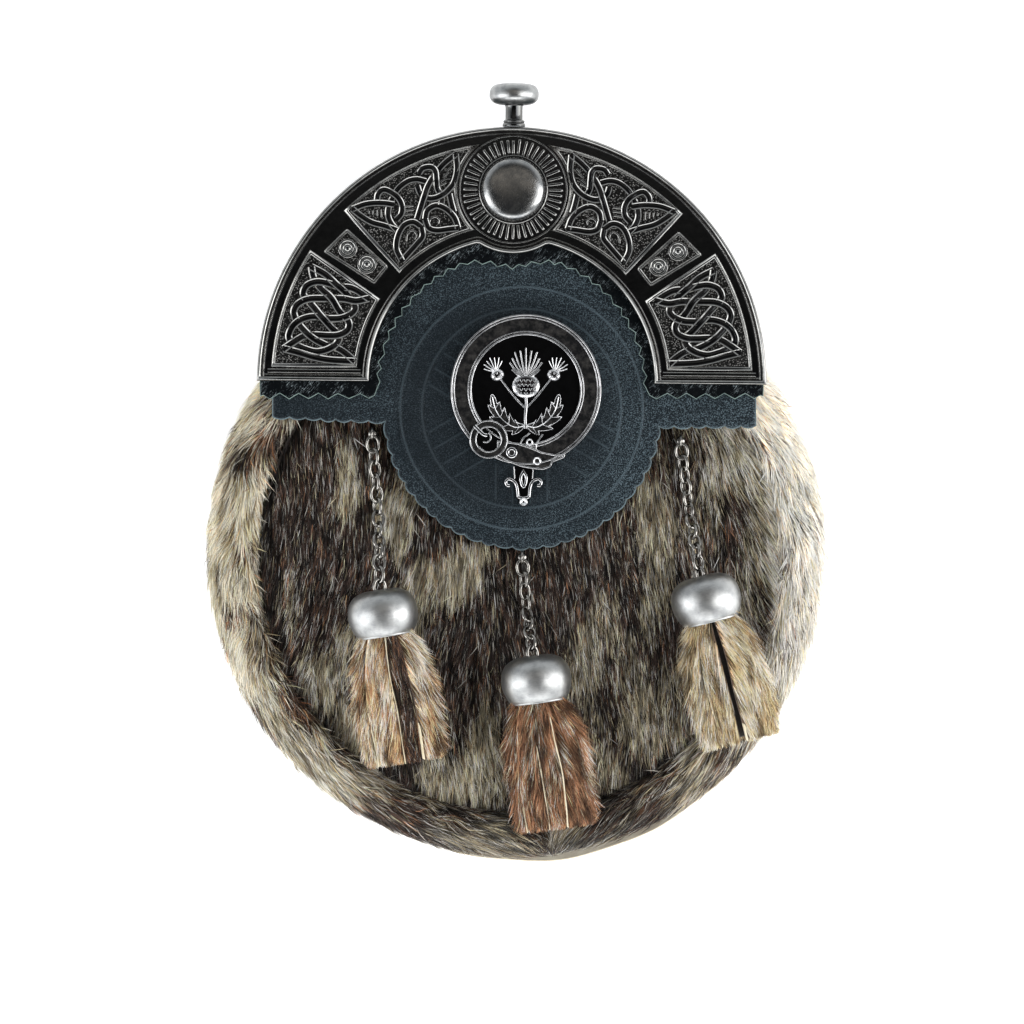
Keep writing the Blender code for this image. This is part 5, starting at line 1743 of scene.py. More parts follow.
@dataclass(frozen=True)
class Badge:
    """The strap-and-buckle badge, with a thistle inside its ring and a lily tip below.

    Attributes:
        bright: gathers the bright raised metal.
        worn: gathers the worn band, the tail and the leaves.
        deep: gathers the black ground.
        strap: the inner and outer radius of the ring.
        rims: the ring's rims at each edge, as (distance from the edge, half width, rise).
        eyelets: the eyelets, as (x, y, size).
        rising: the lines that rise from the tail.
        bulb_scales: the scales of the bloom, as (height on the bulb, count).
    """

    bright: Mould = field(default_factory=Mould)
    worn: Mould = field(default_factory=Mould)
    deep: Mould = field(default_factory=Mould)
    centre: Pair = (3.2, 26.1)
    back: float = 40.1
    face: float = 41.5
    strap: Pair = (15.9, 22.3)
    rims: tuple[Triple, ...] = ((0.35, 0.36, 0.7), (1.15, 0.24, 0.4))
    tail: Places = (
        (-5.4, 11.2), (-5.4, 6.7), (-2.0, 4.7), (1.5, 3.3), (5.0, 2.6), (8.3, 2.3), (10.6, 3.2), (11.2, 4.6),
        (14.6, 5.9), (14.9, 7.0), (12.0, 7.0), (8.0, 7.8), (4.6, 9.2), (1.0, 10.4),
    )
    eyelets: tuple[Triple, ...] = ((-1.0, 7.5, 1.5), (6.5, 5.0, 1.15), (4.3, 10.5, 1.0))
    eyelet_section: Places = ((0.0, -0.3), (0.42, -0.3), (0.55, 0.12), (0.8, 0.3), (1.05, 0.12), (1.2, -0.3))
    rising: tuple[Places, ...] = (
        ((1.5, 10.2), (2.5, 11.8), (4.4, 13.2)), ((6.0, 8.2), (6.5, 10.4), (8.2, 12.9)))
    buckle: Pair = (-7.8, 11.4)
    buckle_radius: float = 4.6
    buckle_profile: Places = ((-1.08, -1.6), (-1.08, 0.0), (-0.8, 0.12), (0.8, 0.12), (1.08, 0.0), (1.08, -1.6))
    tongue: Places = ((-12.0, 15.4), (-10.6, 14.0), (-9.2, 12.8), (-8.2, 12.6))
    tongue_hook: Pair = (-8.6, 12.0)
    lily: tuple[Places, ...] = (
        ((0.9, -5.6), (0.7, -3.4), (0.2, -1.6), (-0.8, -0.6), (-2.0, -0.3), (-2.7, -1.1), (-2.3, -2.2),
         (-1.5, -2.2)),
        ((4.1, -5.6), (4.3, -3.4), (4.8, -1.6), (5.8, -0.6), (7.0, -0.3), (7.7, -1.1), (7.3, -2.2),
         (6.5, -2.2)),
        ((2.5, 1.9), (1.7, 0.3), (1.9, -1.6), (2.5, -2.6), (3.1, -1.6), (3.3, 0.3), (2.5, 1.9)),
        ((0.9, -5.6), (2.5, -5.9), (4.1, -5.6)),
    )
    bead_place: Pair = (2.5, -7.0)
    bead_section: Places = ((0.0, 0.2), (0.4, 0.22), (0.62, 0.55), (0.95, 0.72), (1.25, 0.5), (1.4, -0.2))
    pad: Places = (
        (-0.3, 3.4), (-0.1, -0.2), (0.5, -5.9), (1.6, -8.2), (3.4, -8.2), (4.5, -5.9), (5.1, -0.2), (5.3, 3.4),
    )
    stem: Places = ((3.1, 14.6), (3.0, 18.0), (3.3, 21.5), (3.2, 24.6))
    leaf: Places = ((0.2, 15.4), (3.2, 15.0), (6.6, 17.0), (8.8, 20.2), (9.9, 24.6))
    leaf_half: float = 2.9
    leaf_lobes: int = 5
    bud_stem: Places = ((0.1, 20.6), (3.0, 23.6), (5.4, 26.6), (8.3, 30.4))
    bulb_middle: Pair = (3.2, 27.2)
    bulb_half: Pair = (4.2, 3.7)
    bulb_scales: Places = ((-0.62, 3), (-0.3, 5), (0.05, 6), (0.4, 5))
    bud_scales: Places = ((-0.35, 3), (0.25, 3))

    def line(self, route: Array, half: float, rise: float, base: float, closed: bool = False) -> None:
        """Adds a rounded line of bright metal, which stands on a base counted from the plate."""
        profile = ((-half, -0.25), *half_round(half, rise), (half, -0.25))
        self.bright.bead(route, profile, self.face + base, closed)

    def ring(self) -> None:
        """Adds the strap ring: a dull band between two bright double rims."""
        inner, outer = self.strap
        for edge, side in ((outer, -1.0), (inner, 1.0)):
            for away, half, rise in self.rims:
                self.line(circle(self.centre, edge + side * away, 128), half, rise, 0.45, closed=True)
        top = self.face + 0.5
        self.worn.plane([circle(self.centre, radius, 96) for radius in (outer - 0.3, inner + 0.3)], top, holes=1)
        wall, hole = (circle(self.centre, radius, 96) for radius in (outer - 0.02, inner + 0.05))
        self.bright.wall(((wall, self.back + 0.05), (wall, top)))
        self.bright.wall(((hole, top), (hole, self.face - 0.35)))

    def beside_stem(self, places: Rows | Array, side: float) -> Array:
        """Places counted from the stem, on its right with a side of 1 and its left with -1."""
        return np.asarray(places) * (side, 1.0) + (self.stem[0][0], 0.0)

    def thistle_leaf(self, side: float) -> None:
        """Adds one lobed leaf of the thistle, with its veins.

        Args:
            side: 1 for the right leaf, -1 for the left.
        """
        rib = evenly(smooth_run(self.leaf, 6), 0.25)
        share = np.linspace(0.0, 1.0, len(rib))
        lobe = (share * self.leaf_lobes) % 1.0
        half = self.leaf_half * np.sin(math.pi * share ** 0.8) ** 0.8 * (0.42 + 0.58 * lobe) + 0.12
        along = headings(rib)
        forward = along * (0.9 * lobe * np.sin(math.pi * share))[:, None]
        edges = [self.beside_stem(rib + forward + left_of(along) * (turn * half)[:, None], side)
                 for turn in (1.0, -1.0)]
        loop = anticlockwise(np.vstack((edges[0], edges[1][::-1])))
        self.worn.plane([loop], self.face + 0.12)
        self.line(loop, 0.17, 0.5, 0.0, closed=True)
        middle = self.beside_stem(rib, side)
        self.line(middle[:-3], 0.26, 0.6, 0.1)
        for number in range(1, self.leaf_lobes):
            place = round(len(rib) * (number - 0.1) / self.leaf_lobes)
            start = middle[max(0, place - 4)]
            for edge in edges:
                self.line(np.array((start, start + (edge[place] - start) * 0.75)), 0.14, 0.4, 0.1)

    def bloom(self, middle: Array, size: float, lean: float, scales: Places, tufts: int) -> None:
        """Adds a scaled bulb with its tuft.

        Args:
            middle: the bulb's middle.
            size: its size, 1 for the largest.
            lean: its lean, anticlockwise.
            scales: rows of (height on the bulb, count).
            tufts: the number of hairs of the tuft.
        """
        sunk, top, half = -0.35, 1.5, np.array(self.bulb_half) * size
        spin = np.array((polar(1.0, lean), polar(1.0, lean + 90.0)))
        dome = [(math.sin(turn), math.cos(turn)) for turn in np.radians(range(0, 91, 10))]
        self.bright.turned(dome, 32, Matrix.Translation((*middle, self.face + sunk))
                           @ Matrix.Rotation(math.radians(lean), 4, "Z") @ Matrix.Diagonal((*half, top, 1.0)))
        for y, count in scales:
            reach = math.sqrt(1.0 - y * y) * 0.82
            for x in reach * (2.0 * (np.arange(count) + 0.5) / count - 1.0):
                rise = top * math.sqrt(1.0 - x * x - y * y)
                scale = np.array(((-0.42, 0.35), (0.0, -0.35), (0.42, 0.35))) * min(1.0, 1.3 * size) + (x, y) * half
                self.line(smooth_run(scale @ spin + middle, 3), 0.16, 0.3, sunk + rise + 0.02)
        crown = np.array((0.0, 2.2 * size)) @ spin + middle
        for number in range(tufts):
            off = number - tufts // 2
            turn = 90.0 + lean + off * 126.5 / tufts
            reach = (8.4 - 0.14 * off ** 2 + 0.5 * (number % 2)) * size
            tip, bow = polar(reach, turn, crown), polar(reach * 0.55, turn + off * 1.6, crown)
            self.line(smooth_run((crown + (tip - crown) * 0.12, bow, tip), 5), 0.34 * size ** 0.4, 0.62, 0.0)

    def thistle(self) -> None:
        """Adds the thistle: stem, leaves, a bloom and two buds."""
        self.line(smooth_run(self.stem, 5), 0.55, 0.8, -0.35)
        self.bloom(np.array(self.bulb_middle), 1.0, 0.0, self.bulb_scales, 11)
        for side in (-1.0, 1.0):
            self.thistle_leaf(side)
            stem = self.beside_stem(self.bud_stem, side)
            self.line(smooth_run(stem, 5), 0.34, 0.62, -0.35)
            self.bloom(stem[-1], 0.5, -24.0 * side, self.bud_scales, 7)

    def strap_tail(self) -> None:
        """Adds the strap's tail with its eyelets and the lines that rise from it."""
        tail = anticlockwise(evenly(np.array(self.tail), 0.5, closed=True))
        rise, lip = 0.95, 0.2
        top, rim = self.face + rise, inset(tail, lip)
        self.worn.wall(((tail, self.face - lip), (tail, top - lip), (inset(tail, lip * 0.35), top - lip * 0.3),
                        (rim, top)))
        self.worn.plane([rim], top)
        self.line(inset(tail, 0.35), 0.3, 0.35, rise, closed=True)
        for x, y, size in self.eyelets:
            self.bright.turned(np.array(self.eyelet_section) * (size, 1.0), 24,
                               Matrix.Translation((x, y, self.face + 0.98)))
        for route in self.rising:
            self.line(smooth_run(route, 5), 0.28, 0.4, 0.6)

    def fittings(self) -> None:
        """Adds the buckle with its tongue, and the lily tip."""
        rise = 1.3
        self.worn.bead(circle(self.buckle, self.buckle_radius, 56), self.buckle_profile, self.face + rise, True)
        for away in (-0.85, 0.85):
            self.line(circle(self.buckle, self.buckle_radius + away, 56), 0.25, 0.36, rise, closed=True)
        self.deep.plane([circle(self.buckle, self.buckle_radius - 0.9, 32)], self.face + 1.02)
        self.line(smooth_run(self.tongue, 5), 0.6, 0.7, 1.35)
        self.line(arc(self.tongue_hook, 1.5, 60.0, -120.0, 12), 0.3, 0.5, 1.05)
        for route in self.lily:
            closed, curve = route[0] == route[-1], smooth_run(route, 5)
            self.line(curve[:-1] if closed else curve, 0.5, 0.6, -0.25, closed)
        self.bright.turned(self.bead_section, 20, Matrix.Translation((*self.bead_place, self.face)))
        pad = np.array(self.pad)
        self.deep.plane([pad], self.face - 0.25)
        for edge in (pad[:2], pad[-2:]):
            self.line(edge, 0.2, 0.35, -0.1)

    def make(self) -> None:
        """Makes the badge."""
        self.ring()
        self.thistle()
        self.strap_tail()
        self.fittings()
        inner, outer = self.strap
        self.deep.plane([circle(self.centre, inner + 0.3, 64)], self.face - 0.33)
        self.deep.plane([circle(self.centre, outer, 64)], self.back + 0.05, facing_up=False)
        self.bright.cast("badge_cast", ("badge_bright",), "blackened_metal", ("badge",), 60.0)
        self.worn.cast("badge_strap", ("badge_dull",), "blackened_metal", (), 60.0)
        self.deep.cast("badge_ground", ("badge_black",), "blackened_metal", (), None)


# ------------------------------------------------------------------------------------------- the tassels


@dataclass(frozen=True)
class Strip:
    """One strip of hide, in the cap's own frame.

    Attributes:
        middle: its middle line, from the cap to its foot.
        half: its half widths.
        across: its side vectors.
    """

    middle: Array
    half: Array
    across: Array

    def along(self) -> Array:
        """Its direction at each place."""
        return headings(self.middle)

    def up(self) -> Array:
        """Its outward vectors."""
        return unit(np.cross(self.along(), self.across))


@dataclass(frozen=True)
class Tassel:
    """One tassel: eye, chain of links, bell cap and fur strips.

    Attributes:
        place: left, centre or right.
        eye: where its chain hangs from.
        cap: the middle of its cap.
        tilt: the lean of the cap, anticlockwise.
        links: the number of links of the chain, as listed; it only seeds the tassel's chance, and the chain's link
            count comes from its length.
        mixes: the darker hair mix of each strip, three that lie beneath and then four on top.
        pale: the share of pale hair.
        gain: how bright the hair is.
        cuts: the sides of the strips on top.
        lips: the share of the length of each strip on top from which its cut edge shows.
    """

    place: str
    eye: Pair
    cap: Pair
    tilt: float
    links: int
    mixes: tuple[Mix, ...]
    pale: float
    gain: float
    body: Body = Body()
    cap_radius: float = 10.0
    cap_height: float = 13.8
    cap_section: Places = (
        (2.5, 0.15), (3.4, 0.0), (5.2, 0.2), (7.1, 0.9), (8.7, 2.1), (9.8, 3.9), (10.3, 6.1), (10.3, 8.2),
        (9.8, 10.3), (9.1, 12.0), (8.5, 12.95), (8.15, 13.3), (8.1, 13.6), (7.95, 13.8), (7.7, 13.7),
        (7.6, 13.3), (7.9, 12.2), (8.6, 9.4), (8.8, 7.0), (7.6, 3.6), (5.0, 1.6), (2.5, 1.1),
    )
    eye_rise: float = 2.2
    eye_section: Places = ((0.0, 0.6), (0.9, 0.55), (1.3, 0.3), (1.4, 0.0), (1.3, -0.6))
    wire: float = 0.5
    link_half: Pair = (1.75, 2.3)
    link_turns: Pair = (38.0, 128.0)
    strip_length: float = 37.5
    cuts: tuple[float, ...] = (-11.2, -8.2, -0.5, 5.0, 11.2)
    lips: tuple[float, ...] = (1.0, 0.6, 0.06, 0.75)
    gather: float = 0.44
    ground: float = 37.0
    hide_thickness: float = 0.8
    plug: Places = ((0.0, 13.2), (3.0, 13.0), (6.0, 12.0), (6.4, 8.0), (4.6, 4.2), (0.0, 4.0))

    def axis(self) -> Vector:
        """The direction from the cap's top to its mouth."""
        turn = math.radians(self.tilt)
        return Vector((math.sin(turn), -math.cos(turn), 0.0))

    def over_fur(self, place: Pair, rise: float) -> Vector:
        """The place at a height above the fur."""
        return Vector((*place, float(self.body.front_height(*place)) + rise))

    def cap_middle(self) -> Vector:
        """The middle of the cap, lying on the fur."""
        return self.over_fur(self.cap, 0.6 + self.cap_radius)

    def eye_middle(self) -> Vector:
        """The middle of the eye."""
        return self.over_fur(self.eye, 0.3 + self.eye_rise)

    def matrix(self) -> Matrix:
        """From the cap's own frame, +Z from its top to its mouth, to the object's.

        Returns:
            The matrix, in millimetres.
        """
        axis, up = self.axis(), Vector((0.0, 0.0, 1.0))
        turn = Matrix((up.cross(axis), up, axis)).transposed().to_4x4()
        return Matrix.Translation(self.cap_middle() - axis * self.cap_height / 2.0) @ turn

    def make_cap(self) -> None:
        """Makes the bell cap."""
        mould = Mould()
        mould.turned(smooth_run(self.cap_section, 3)[:-1], 64, self.matrix(), closed=True)
        mould.cast(f"cap_{self.place}_bell", ("pewter",), "brushed_pewter", (f"cap_{self.place}",), 50.0)

    @staticmethod
    def tube(mould: Mould, route: Array, radius: float) -> None:
        """Adds a closed ring of wire.

        Args:
            mould: gathers the piece.
            route: rows of (x, y, z) round the ring.
            radius: the wire's radius.
        """
        along = unit(np.roll(route, -1, axis=0) - np.roll(route, 1, axis=0))
        out = route - route.mean(axis=0)
        out = unit(out - along * dots(out, along))
        turns = around(8)[:, None]
        ring = out[:, None] * np.cos(turns) + np.cross(along, out)[:, None] * np.sin(turns)
        mould.sheet(route[:, None] + radius * ring, wrap_rows=True, wrap_columns=True)

    def make_eye(self) -> None:
        """Makes the eye, an upright ring on a small foot."""
        mould, middle = Mould(), np.array(self.eye_middle())
        turns = around(24)
        self.tube(mould, middle + 1.7 * stacked(0.0, np.cos(turns), np.sin(turns)), 0.42)
        mould.turned(self.eye_section, 16, Matrix.Translation(middle - (0.0, 0.0, self.eye_rise)))
        mould.cast(f"eye_{self.place}_ring", ("chain_nickel",), "chain_metal", (f"eye_{self.place}",), None)

    def chain_route(self) -> Array:
        """The middle line of the chain, over the fur and up into the cap.

        Returns:
            Rows of (x, y, z).
        """
        start = np.array(self.eye_middle()) - (0.0, 0.86, 0.0)
        end = np.array(self.cap_middle() - self.axis() * (self.cap_height / 2.0 - 1.6))
        share = np.linspace(0.0, 1.0, 60)
        flat = start[:2] + (end - start)[:2] * share[:, None]
        flat[:, 0] += np.sin(share * math.pi) * (0.45 if self.place == "left" else -0.315)
        ground = self.body.front_height(*flat.T) + 2.15
        climb = ramp(share, 0.45, 0.43)
        climb = climb * climb * (3.0 - 2.0 * climb)
        drop = np.exp(-share * 14.0)
        height = (ground + (end[2] - ground) * climb) * (1.0 - drop) + start[2] * drop
        return np.column_stack((flat, height))

    def make_chain(self) -> None:
        """Makes the chain of interlocked links."""
        chance = np.random.default_rng(len(self.place) + self.links)
        route = self.chain_route()
        lengths = travelled(route)
        half_width, half_length = self.link_half
        room = lengths[-1] - 2.0 * self.wire
        count = max(3, round(room / (2.0 * half_length - 2.0 * self.wire)))
        pitch = room / count
        half_length = pitch / 2.0 + self.wire
        turns = around(28)[:, None]
        squared = np.sign(np.cos(turns)) * np.abs(np.cos(turns)) ** 0.8
        mould = Mould()
        for number in range(count):
            at = pitch * (number + 0.5) + self.wire
            before, middle, after = sampled(route, lengths, (at - pitch / 2.0, at, at + pitch / 2.0))
            along = unit(after - before)
            side = unit(np.cross(along, (0.0, 0.0, 1.0)))
            uneven = chance.normal(0.0, 8.0)
            turn = math.radians(self.link_turns[number % 2] + uneven) if number else 0.0
            across = side * math.cos(turn) + np.cross(side, along) * math.sin(turn)
            self.tube(mould, middle + across * half_width * squared + along * half_length * np.sin(turns), self.wire)
        mould.cast(f"chain_{self.place}_links", ("chain_nickel",), "chain_metal", (f"chain_{self.place}",), None)

    def strips(self) -> list[Strip]:
        """The strips: three that lie beneath, then the four on top.

        Returns:
            The strips.
        """
        head_z, foot_z = self.cap_height - 4.0, self.cap_height + self.strip_length
        ground = self.ground - self.cap_middle().z
        share = np.linspace(0.0, 1.0, 24)
        belly = np.sin(share * math.pi)
        width = self.gather + (1.0 - self.gather) * (1.0 - (1.0 - share) ** 4.2 + 0.12 * belly)
        wobble = Clumps(75 + self.links)
        lines = [cut * width + 1.3 * belly * (wobble.at(share * 3.0, np.full(24, 3.7 * number)) - 0.5)
                 for number, cut in enumerate(self.cuts)]
        rows = [(place * width, np.full(24, 3.2), 0.5 * place, -1.5, 1.2) for place in (-7.2, 0.0, 7.2)]
        for left, right, mix in zip(lines, lines[1:], self.mixes[3:]):
            foot = (left[-1] + right[-1]) / 2.0
            swell = math.sqrt(1.0 - (foot / 13.0) ** 2)
            sunk = 1.3 if mix is DARK else 0.0
            rows.append(((left + right) / 2.0, (right - left) / 2.0 + 0.15, foot, 6.2 * swell - 0.6 - sunk,
                         2.0 + 3.4 * swell - sunk))
        strips = []
        for middle_x, half, foot, head_y, foot_y in rows:
            on_top = foot_y > 1.5
            drop = head_y + (ground + foot_y - head_y) * share ** 0.85 + 1.1 * belly * on_top
            rolls = -0.045 * foot * on_top * (0.6 + 0.4 * share)
            strips.append(Strip(stacked(middle_x, drop, head_z + (foot_z - head_z) * share), half,
                                stacked(np.cos(rolls), np.sin(rolls), 0.0)))
        return strips

    def make_strips(self) -> None:
        """Makes the strips of hide and their hair."""
        chance = np.random.default_rng(50 + self.links)
        mould, hair = Mould(), []
        mould.turned(self.plug, 24, self.matrix())
        for number, strip in enumerate(self.strips()):
            if self.mixes[number]:
                bare = self.lips[number - 3] if number > 2 else 1.0
                self.strip_skin(mould, number, strip, bare)
                hair.append(self.strip_hair(number, strip, bare, chance))
        rings = self.core()
        mould.sheet(moved(rings, self.matrix())[::-1], 2, wrap_columns=True, caps=True)
        hair.append(self.core_hair(rings, chance))
        mould.cast(f"tassel_{self.place}_strips", ("strip_skin", "strip_edge", "undercoat"), "strip_fur",
                   (f"tassel_{self.place}",), 50.0)
        joined = Strands(*map(np.concatenate, zip(*(part.columns() for part in hair))))
        joined.draw(f"tassel_{self.place}_hair", "strip_fur", 60 + self.links)

    def strip_skin(self, mould: Mould, number: int, strip: Strip, bare: float) -> None:
        """Adds the hide of one strip, its left edge turned up where it is bare.

        Args:
            mould: gathers the piece.
            number: which strip.
            strip: the strip.
            bare: the share of its length from which its left edge is bare.
        """
        half, count = strip.half, len(strip.middle)
        lateral = stacked(-half, 0.2 - half, 0.4 - half, -0.5 * half, 0.0, 0.5 * half, half - 0.3, half)
        shares = np.linspace(0.0, 1.0, count)
        lip = 0.7 + 0.7 * Clumps(80 + number).at(shares * 7.0, np.full(count, 3.3))
        lip = (lip + 1.2 * (self.mixes[number] is DARK)) * (shares > bare)
        arch = stacked(0.85 * lip, lip, 0.15, 0.0, 0.05, 0.0, -0.1 * lip, -0.3)
        flat = strip.middle[:, None] + strip.across[:, None] * lateral[..., None]
        up = strip.up()[:, None]
        ring = np.concatenate((flat + up * arch[..., None], (flat - up * self.hide_thickness)[:, ::-1]), axis=1)
        start = len(mould.faces)
        mould.sheet(moved(ring, self.matrix())[::-1], wrap_columns=True, caps=True)
        columns = ring.shape[1]
        for face in range(start, len(mould.faces)):
            row, column = divmod(face - start, columns)
            if column in (0, 1, columns - 1) and 1.0 - (row + 0.5) / (count - 1.0) > bare:
                mould.slots[face] = 1

    def core(self) -> Array:
        """The bundle of hide between the lower and the upper strips, in the cap's own frame.

        Returns:
            Its rings, from the cap to the foot.
        """
        strips = self.strips()
        base = np.mean([strip.middle for strip in strips[:3]], axis=0)
        upper = [strip for strip, mix in zip(strips[3:], self.mixes[3:]) if mix]
        sides = np.array([(strip.middle[:, 0] - strip.half, strip.middle[:, 0] + strip.half) for strip in upper])
        left, right = sides[:, 0].min(axis=0) + 0.9, sides[:, 1].max(axis=0) - 0.9
        shares = np.linspace(0.0, 1.0, 9)
        x = left[:, None] * (1.0 - shares) + right[:, None] * shares
        peaks = np.array([strip.middle[:, 1] for strip in upper])
        peak = np.array([np.interp(x[row], sides.mean(axis=1)[:, row], peaks[:, row]) for row in range(len(base))])
        z = base[:, 2:].copy()
        z[-1] -= 1.3
        return np.concatenate((stacked(x, np.maximum(peak - 1.7, base[:, 1:2] + 0.2), z),
                               stacked(x, base[:, 1:2], z)[:, ::-1]), axis=1)

    def core_hair(self, rings: Array, chance: Chance) -> Strands:
        """The hair at the foot and the sides of the core.

        Args:
            rings: the core's rings.
            chance: a source of chance.

        Returns:
            The hair, in the object's frame.
        """
        count, half = 1200, rings.shape[1] // 2
        row = chance.integers(6, len(rings) - 1, count)
        foot = chance.random(count) < 0.5
        row = np.where(foot, len(rings) - 2, row)
        across = np.where(foot, chance.random(count), np.round(chance.random(count)))
        rise = chance.random(count)
        column = across * (half - 1.001)
        first = column.astype(int)
        part, last = (column - first)[:, None], 2 * half - 1
        top = rings[row, first] * (1.0 - part) + rings[row, first + 1] * part
        low = rings[row, last - first] * (1.0 - part) + rings[row, last - 1 - first] * part
        roots = low + (top - low) * rise[:, None]
        side = np.sign(across - 0.5)
        sideways = np.where(foot, 0.16 * (across - 0.5), 0.34 * side) + chance.normal(0.0, 0.1, count)
        flow = unit(unit(rings[row + 1, first] - rings[row, first]) + stacked(sideways, 0.0, 0.0))
        outward = np.where(foot[:, None], (0.0, 1.0, 0.0), stacked(side, 0.0, 0.0))
        room = self.cap_height + self.strip_length - roots[:, 2]
        length = np.where(foot, room + chance.uniform(-0.6, 0.9, count), chance.uniform(3.0, 5.5, count))
        mix = self.mixes[3]
        colours = Mottle(79 + self.links).colours(
            chance.uniform(0.2, 0.9, count), np.full(count, 0.5 * self.pale), mix,
            ((Hair.CREAM, 0.6), (mix[0][0], 0.4)), 0.5 * self.gain)
        return self.placed(Strands(roots, outward, flow, np.minimum(length, room + 0.9),
                                   chance.uniform(0.14, 0.24, count), np.full(count, 0.08), np.full(count, 0.004),
                                   *colours))

    def placed(self, hair: Strands) -> Strands:
        """The hair moved from the cap's own frame to the object's.

        Args:
            hair: the hair.

        Returns:
            The moved hair.
        """
        matrix = self.matrix()
        turn = matrix.to_3x3().to_4x4()
        roots, normals, combing, *others = hair.columns()
        return Strands(moved(roots, matrix), moved(normals, turn), moved(combing, turn), *others)

    def strip_hair(self, number: int, strip: Strip, bare: float, chance: Chance) -> Strands:
        """The hair of one strip.

        Args:
            number: which strip.
            strip: the strip.
            bare: the share of its length from which its left edge is bare.
            chance: a source of chance.

        Returns:
            The hair, in the object's frame.
        """
        on_top, rows = number > 2, len(strip.middle) - 1.0
        count = round(780.0 * float(strip.half[-1])) if on_top else 500
        share = chance.random(count) * (rows - 0.001)
        row = share.astype(int)
        part = share - row
        sideways = chance.uniform(-1.0, 1.0, count)
        at_lip = (share > bare * rows) & (sideways * strip.half[-1] < 0.5 - strip.half[-1])
        sideways = np.where(at_lip, -0.7 * sideways, sideways)
        centre, side, out, down = (table[row] * (1.0 - part[:, None]) + table[row + 1] * part[:, None]
                                   for table in (strip.middle, strip.across, strip.up(), strip.along()))
        side, out, down = unit(side), unit(out), unit(down)
        width = strip.half[row] * (1.0 - part) + strip.half[row + 1] * part
        clump = Clumps(90 + number + self.links)
        lean = 0.6 * (clump.at(sideways * 1.3 + 4.0, share / 4.0) - 0.5) + chance.normal(0.0, 0.14, count)
        lean = np.where((sideways < -0.6) & (bare < 1.0), np.abs(lean), lean) + 0.022 * float(strip.middle[-1, 0])
        gaps = [on_top and place < len(self.mixes) and not self.mixes[place] for place in (number - 1, number + 1)]
        lean = np.where(gaps[0] & (sideways < -0.3), np.abs(lean), lean)
        lean = np.where(gaps[1] & (sideways > 0.3), -np.abs(lean), lean)
        outer = (number == 6) * ramp(sideways, 0.5, 0.5) - (number == 3) * ramp(sideways, -0.5, -0.5)
        lean = lean + 0.35 * outer * (0.4 + chance.random(count))
        remain = (rows - share) / rows * self.strip_length
        length = np.minimum(chance.normal(4.8, 1.0, count).clip(2.4, 7.5), remain * 0.8 + 0.9)
        lift = chance.normal(0.2, 0.05, count).clip(0.08, 0.4)
        mix = self.mixes[number]
        pale = (self.pale + 1.3 * (clump.at(sideways * 1.5 + 9.0, share / 5.0 + 3.0) - 0.5)).clip(0.0, 1.0)
        colours = Mottle(70 + number + 10 * self.links).colours(
            0.1 + 0.9 * clump.at(sideways * 3.2, share / 2.2 + 8.0), 0.25 * pale if mix is DARK else pale, mix,
            ((Hair.CREAM, 0.5), (Hair.SILVER, 0.2), (mix[0][0], 0.3)), self.gain if on_top else 0.3)
        return self.placed(Strands(centre + side * (width * sideways)[:, None] + out * 0.05, out,
                                   unit(down + side * lean[:, None]), length, chance.uniform(0.12, 0.24, count), lift,
                                   np.full(count, 0.004), *colours))


GINGER = ((Hair.TAN, 0.5), (Hair.RUSSET, 0.42), (Hair.GOLD, 0.08))
DARK = ((Hair.BROWN, 0.62), (Hair.BLACK, 0.2), (Hair.RUSSET, 0.18))
RED = ((Hair.RUSSET, 0.8), (Hair.BROWN, 0.12), (Hair.TAN, 0.08))
GOLDEN = ((Hair.GOLD, 0.62), (Hair.TAN, 0.3), (Hair.BROWN, 0.08))
BENEATH = (DARK,) * 3
TASSELS = (
    Tassel("left", (-42.2, 13.2), (-38.9, -39.7), 9.0, 13, (*BENEATH, GINGER, GINGER, DARK, GINGER), 0.45, 2.7),
    Tassel("centre", (2.1, -23.4), (6.2, -59.1), 8.0, 9, (*BENEATH, RED, RED, RED, RED), 0.16, 1.6,
           cuts=(-10.9, -8.7, -2.2, 2.9, 10.9), lips=(1.0, 0.68, 0.4, 0.14)),
    Tassel("right", (49.0, 11.0), (56.1, -35.6), 14.5, 11, (*BENEATH, GOLDEN, GOLDEN, (), GOLDEN), 0.5, 2.1,
           cuts=(-11.0, -6.0, -0.6, 1.3, 11.0), lips=(1.0, 0.5, 1.0, 0.85), strip_length=36.5),
)


# -------------------------------------------------------------------------------------------- the studio


@dataclass(frozen=True)
class Softbox:
    """An area light that faces the pouch.

    Attributes:
        name: its name.
        place: where it stands, in metres.
        size: its width and height, in metres.
        watts: its power.
        colour: its colour.
    """

    name: str
    place: Triple
    size: Pair
    watts: float
    colour: Triple

    def set_up(self) -> None:
        """Adds the light."""
        lamp = bpy.data.lights.new(self.name, "AREA")
        lamp.shape = "RECTANGLE"
        lamp.size, lamp.size_y = self.size
        lamp.energy = self.watts
        lamp.color = self.colour
        item = bpy.data.objects.new(self.name, lamp)
        item.location = self.place
        item.rotation_euler = (Vector((0.0, 0.0, 0.03)) - item.location).to_track_quat("-Z", "Y").to_euler()
        bpy.context.scene.collection.objects.link(item)


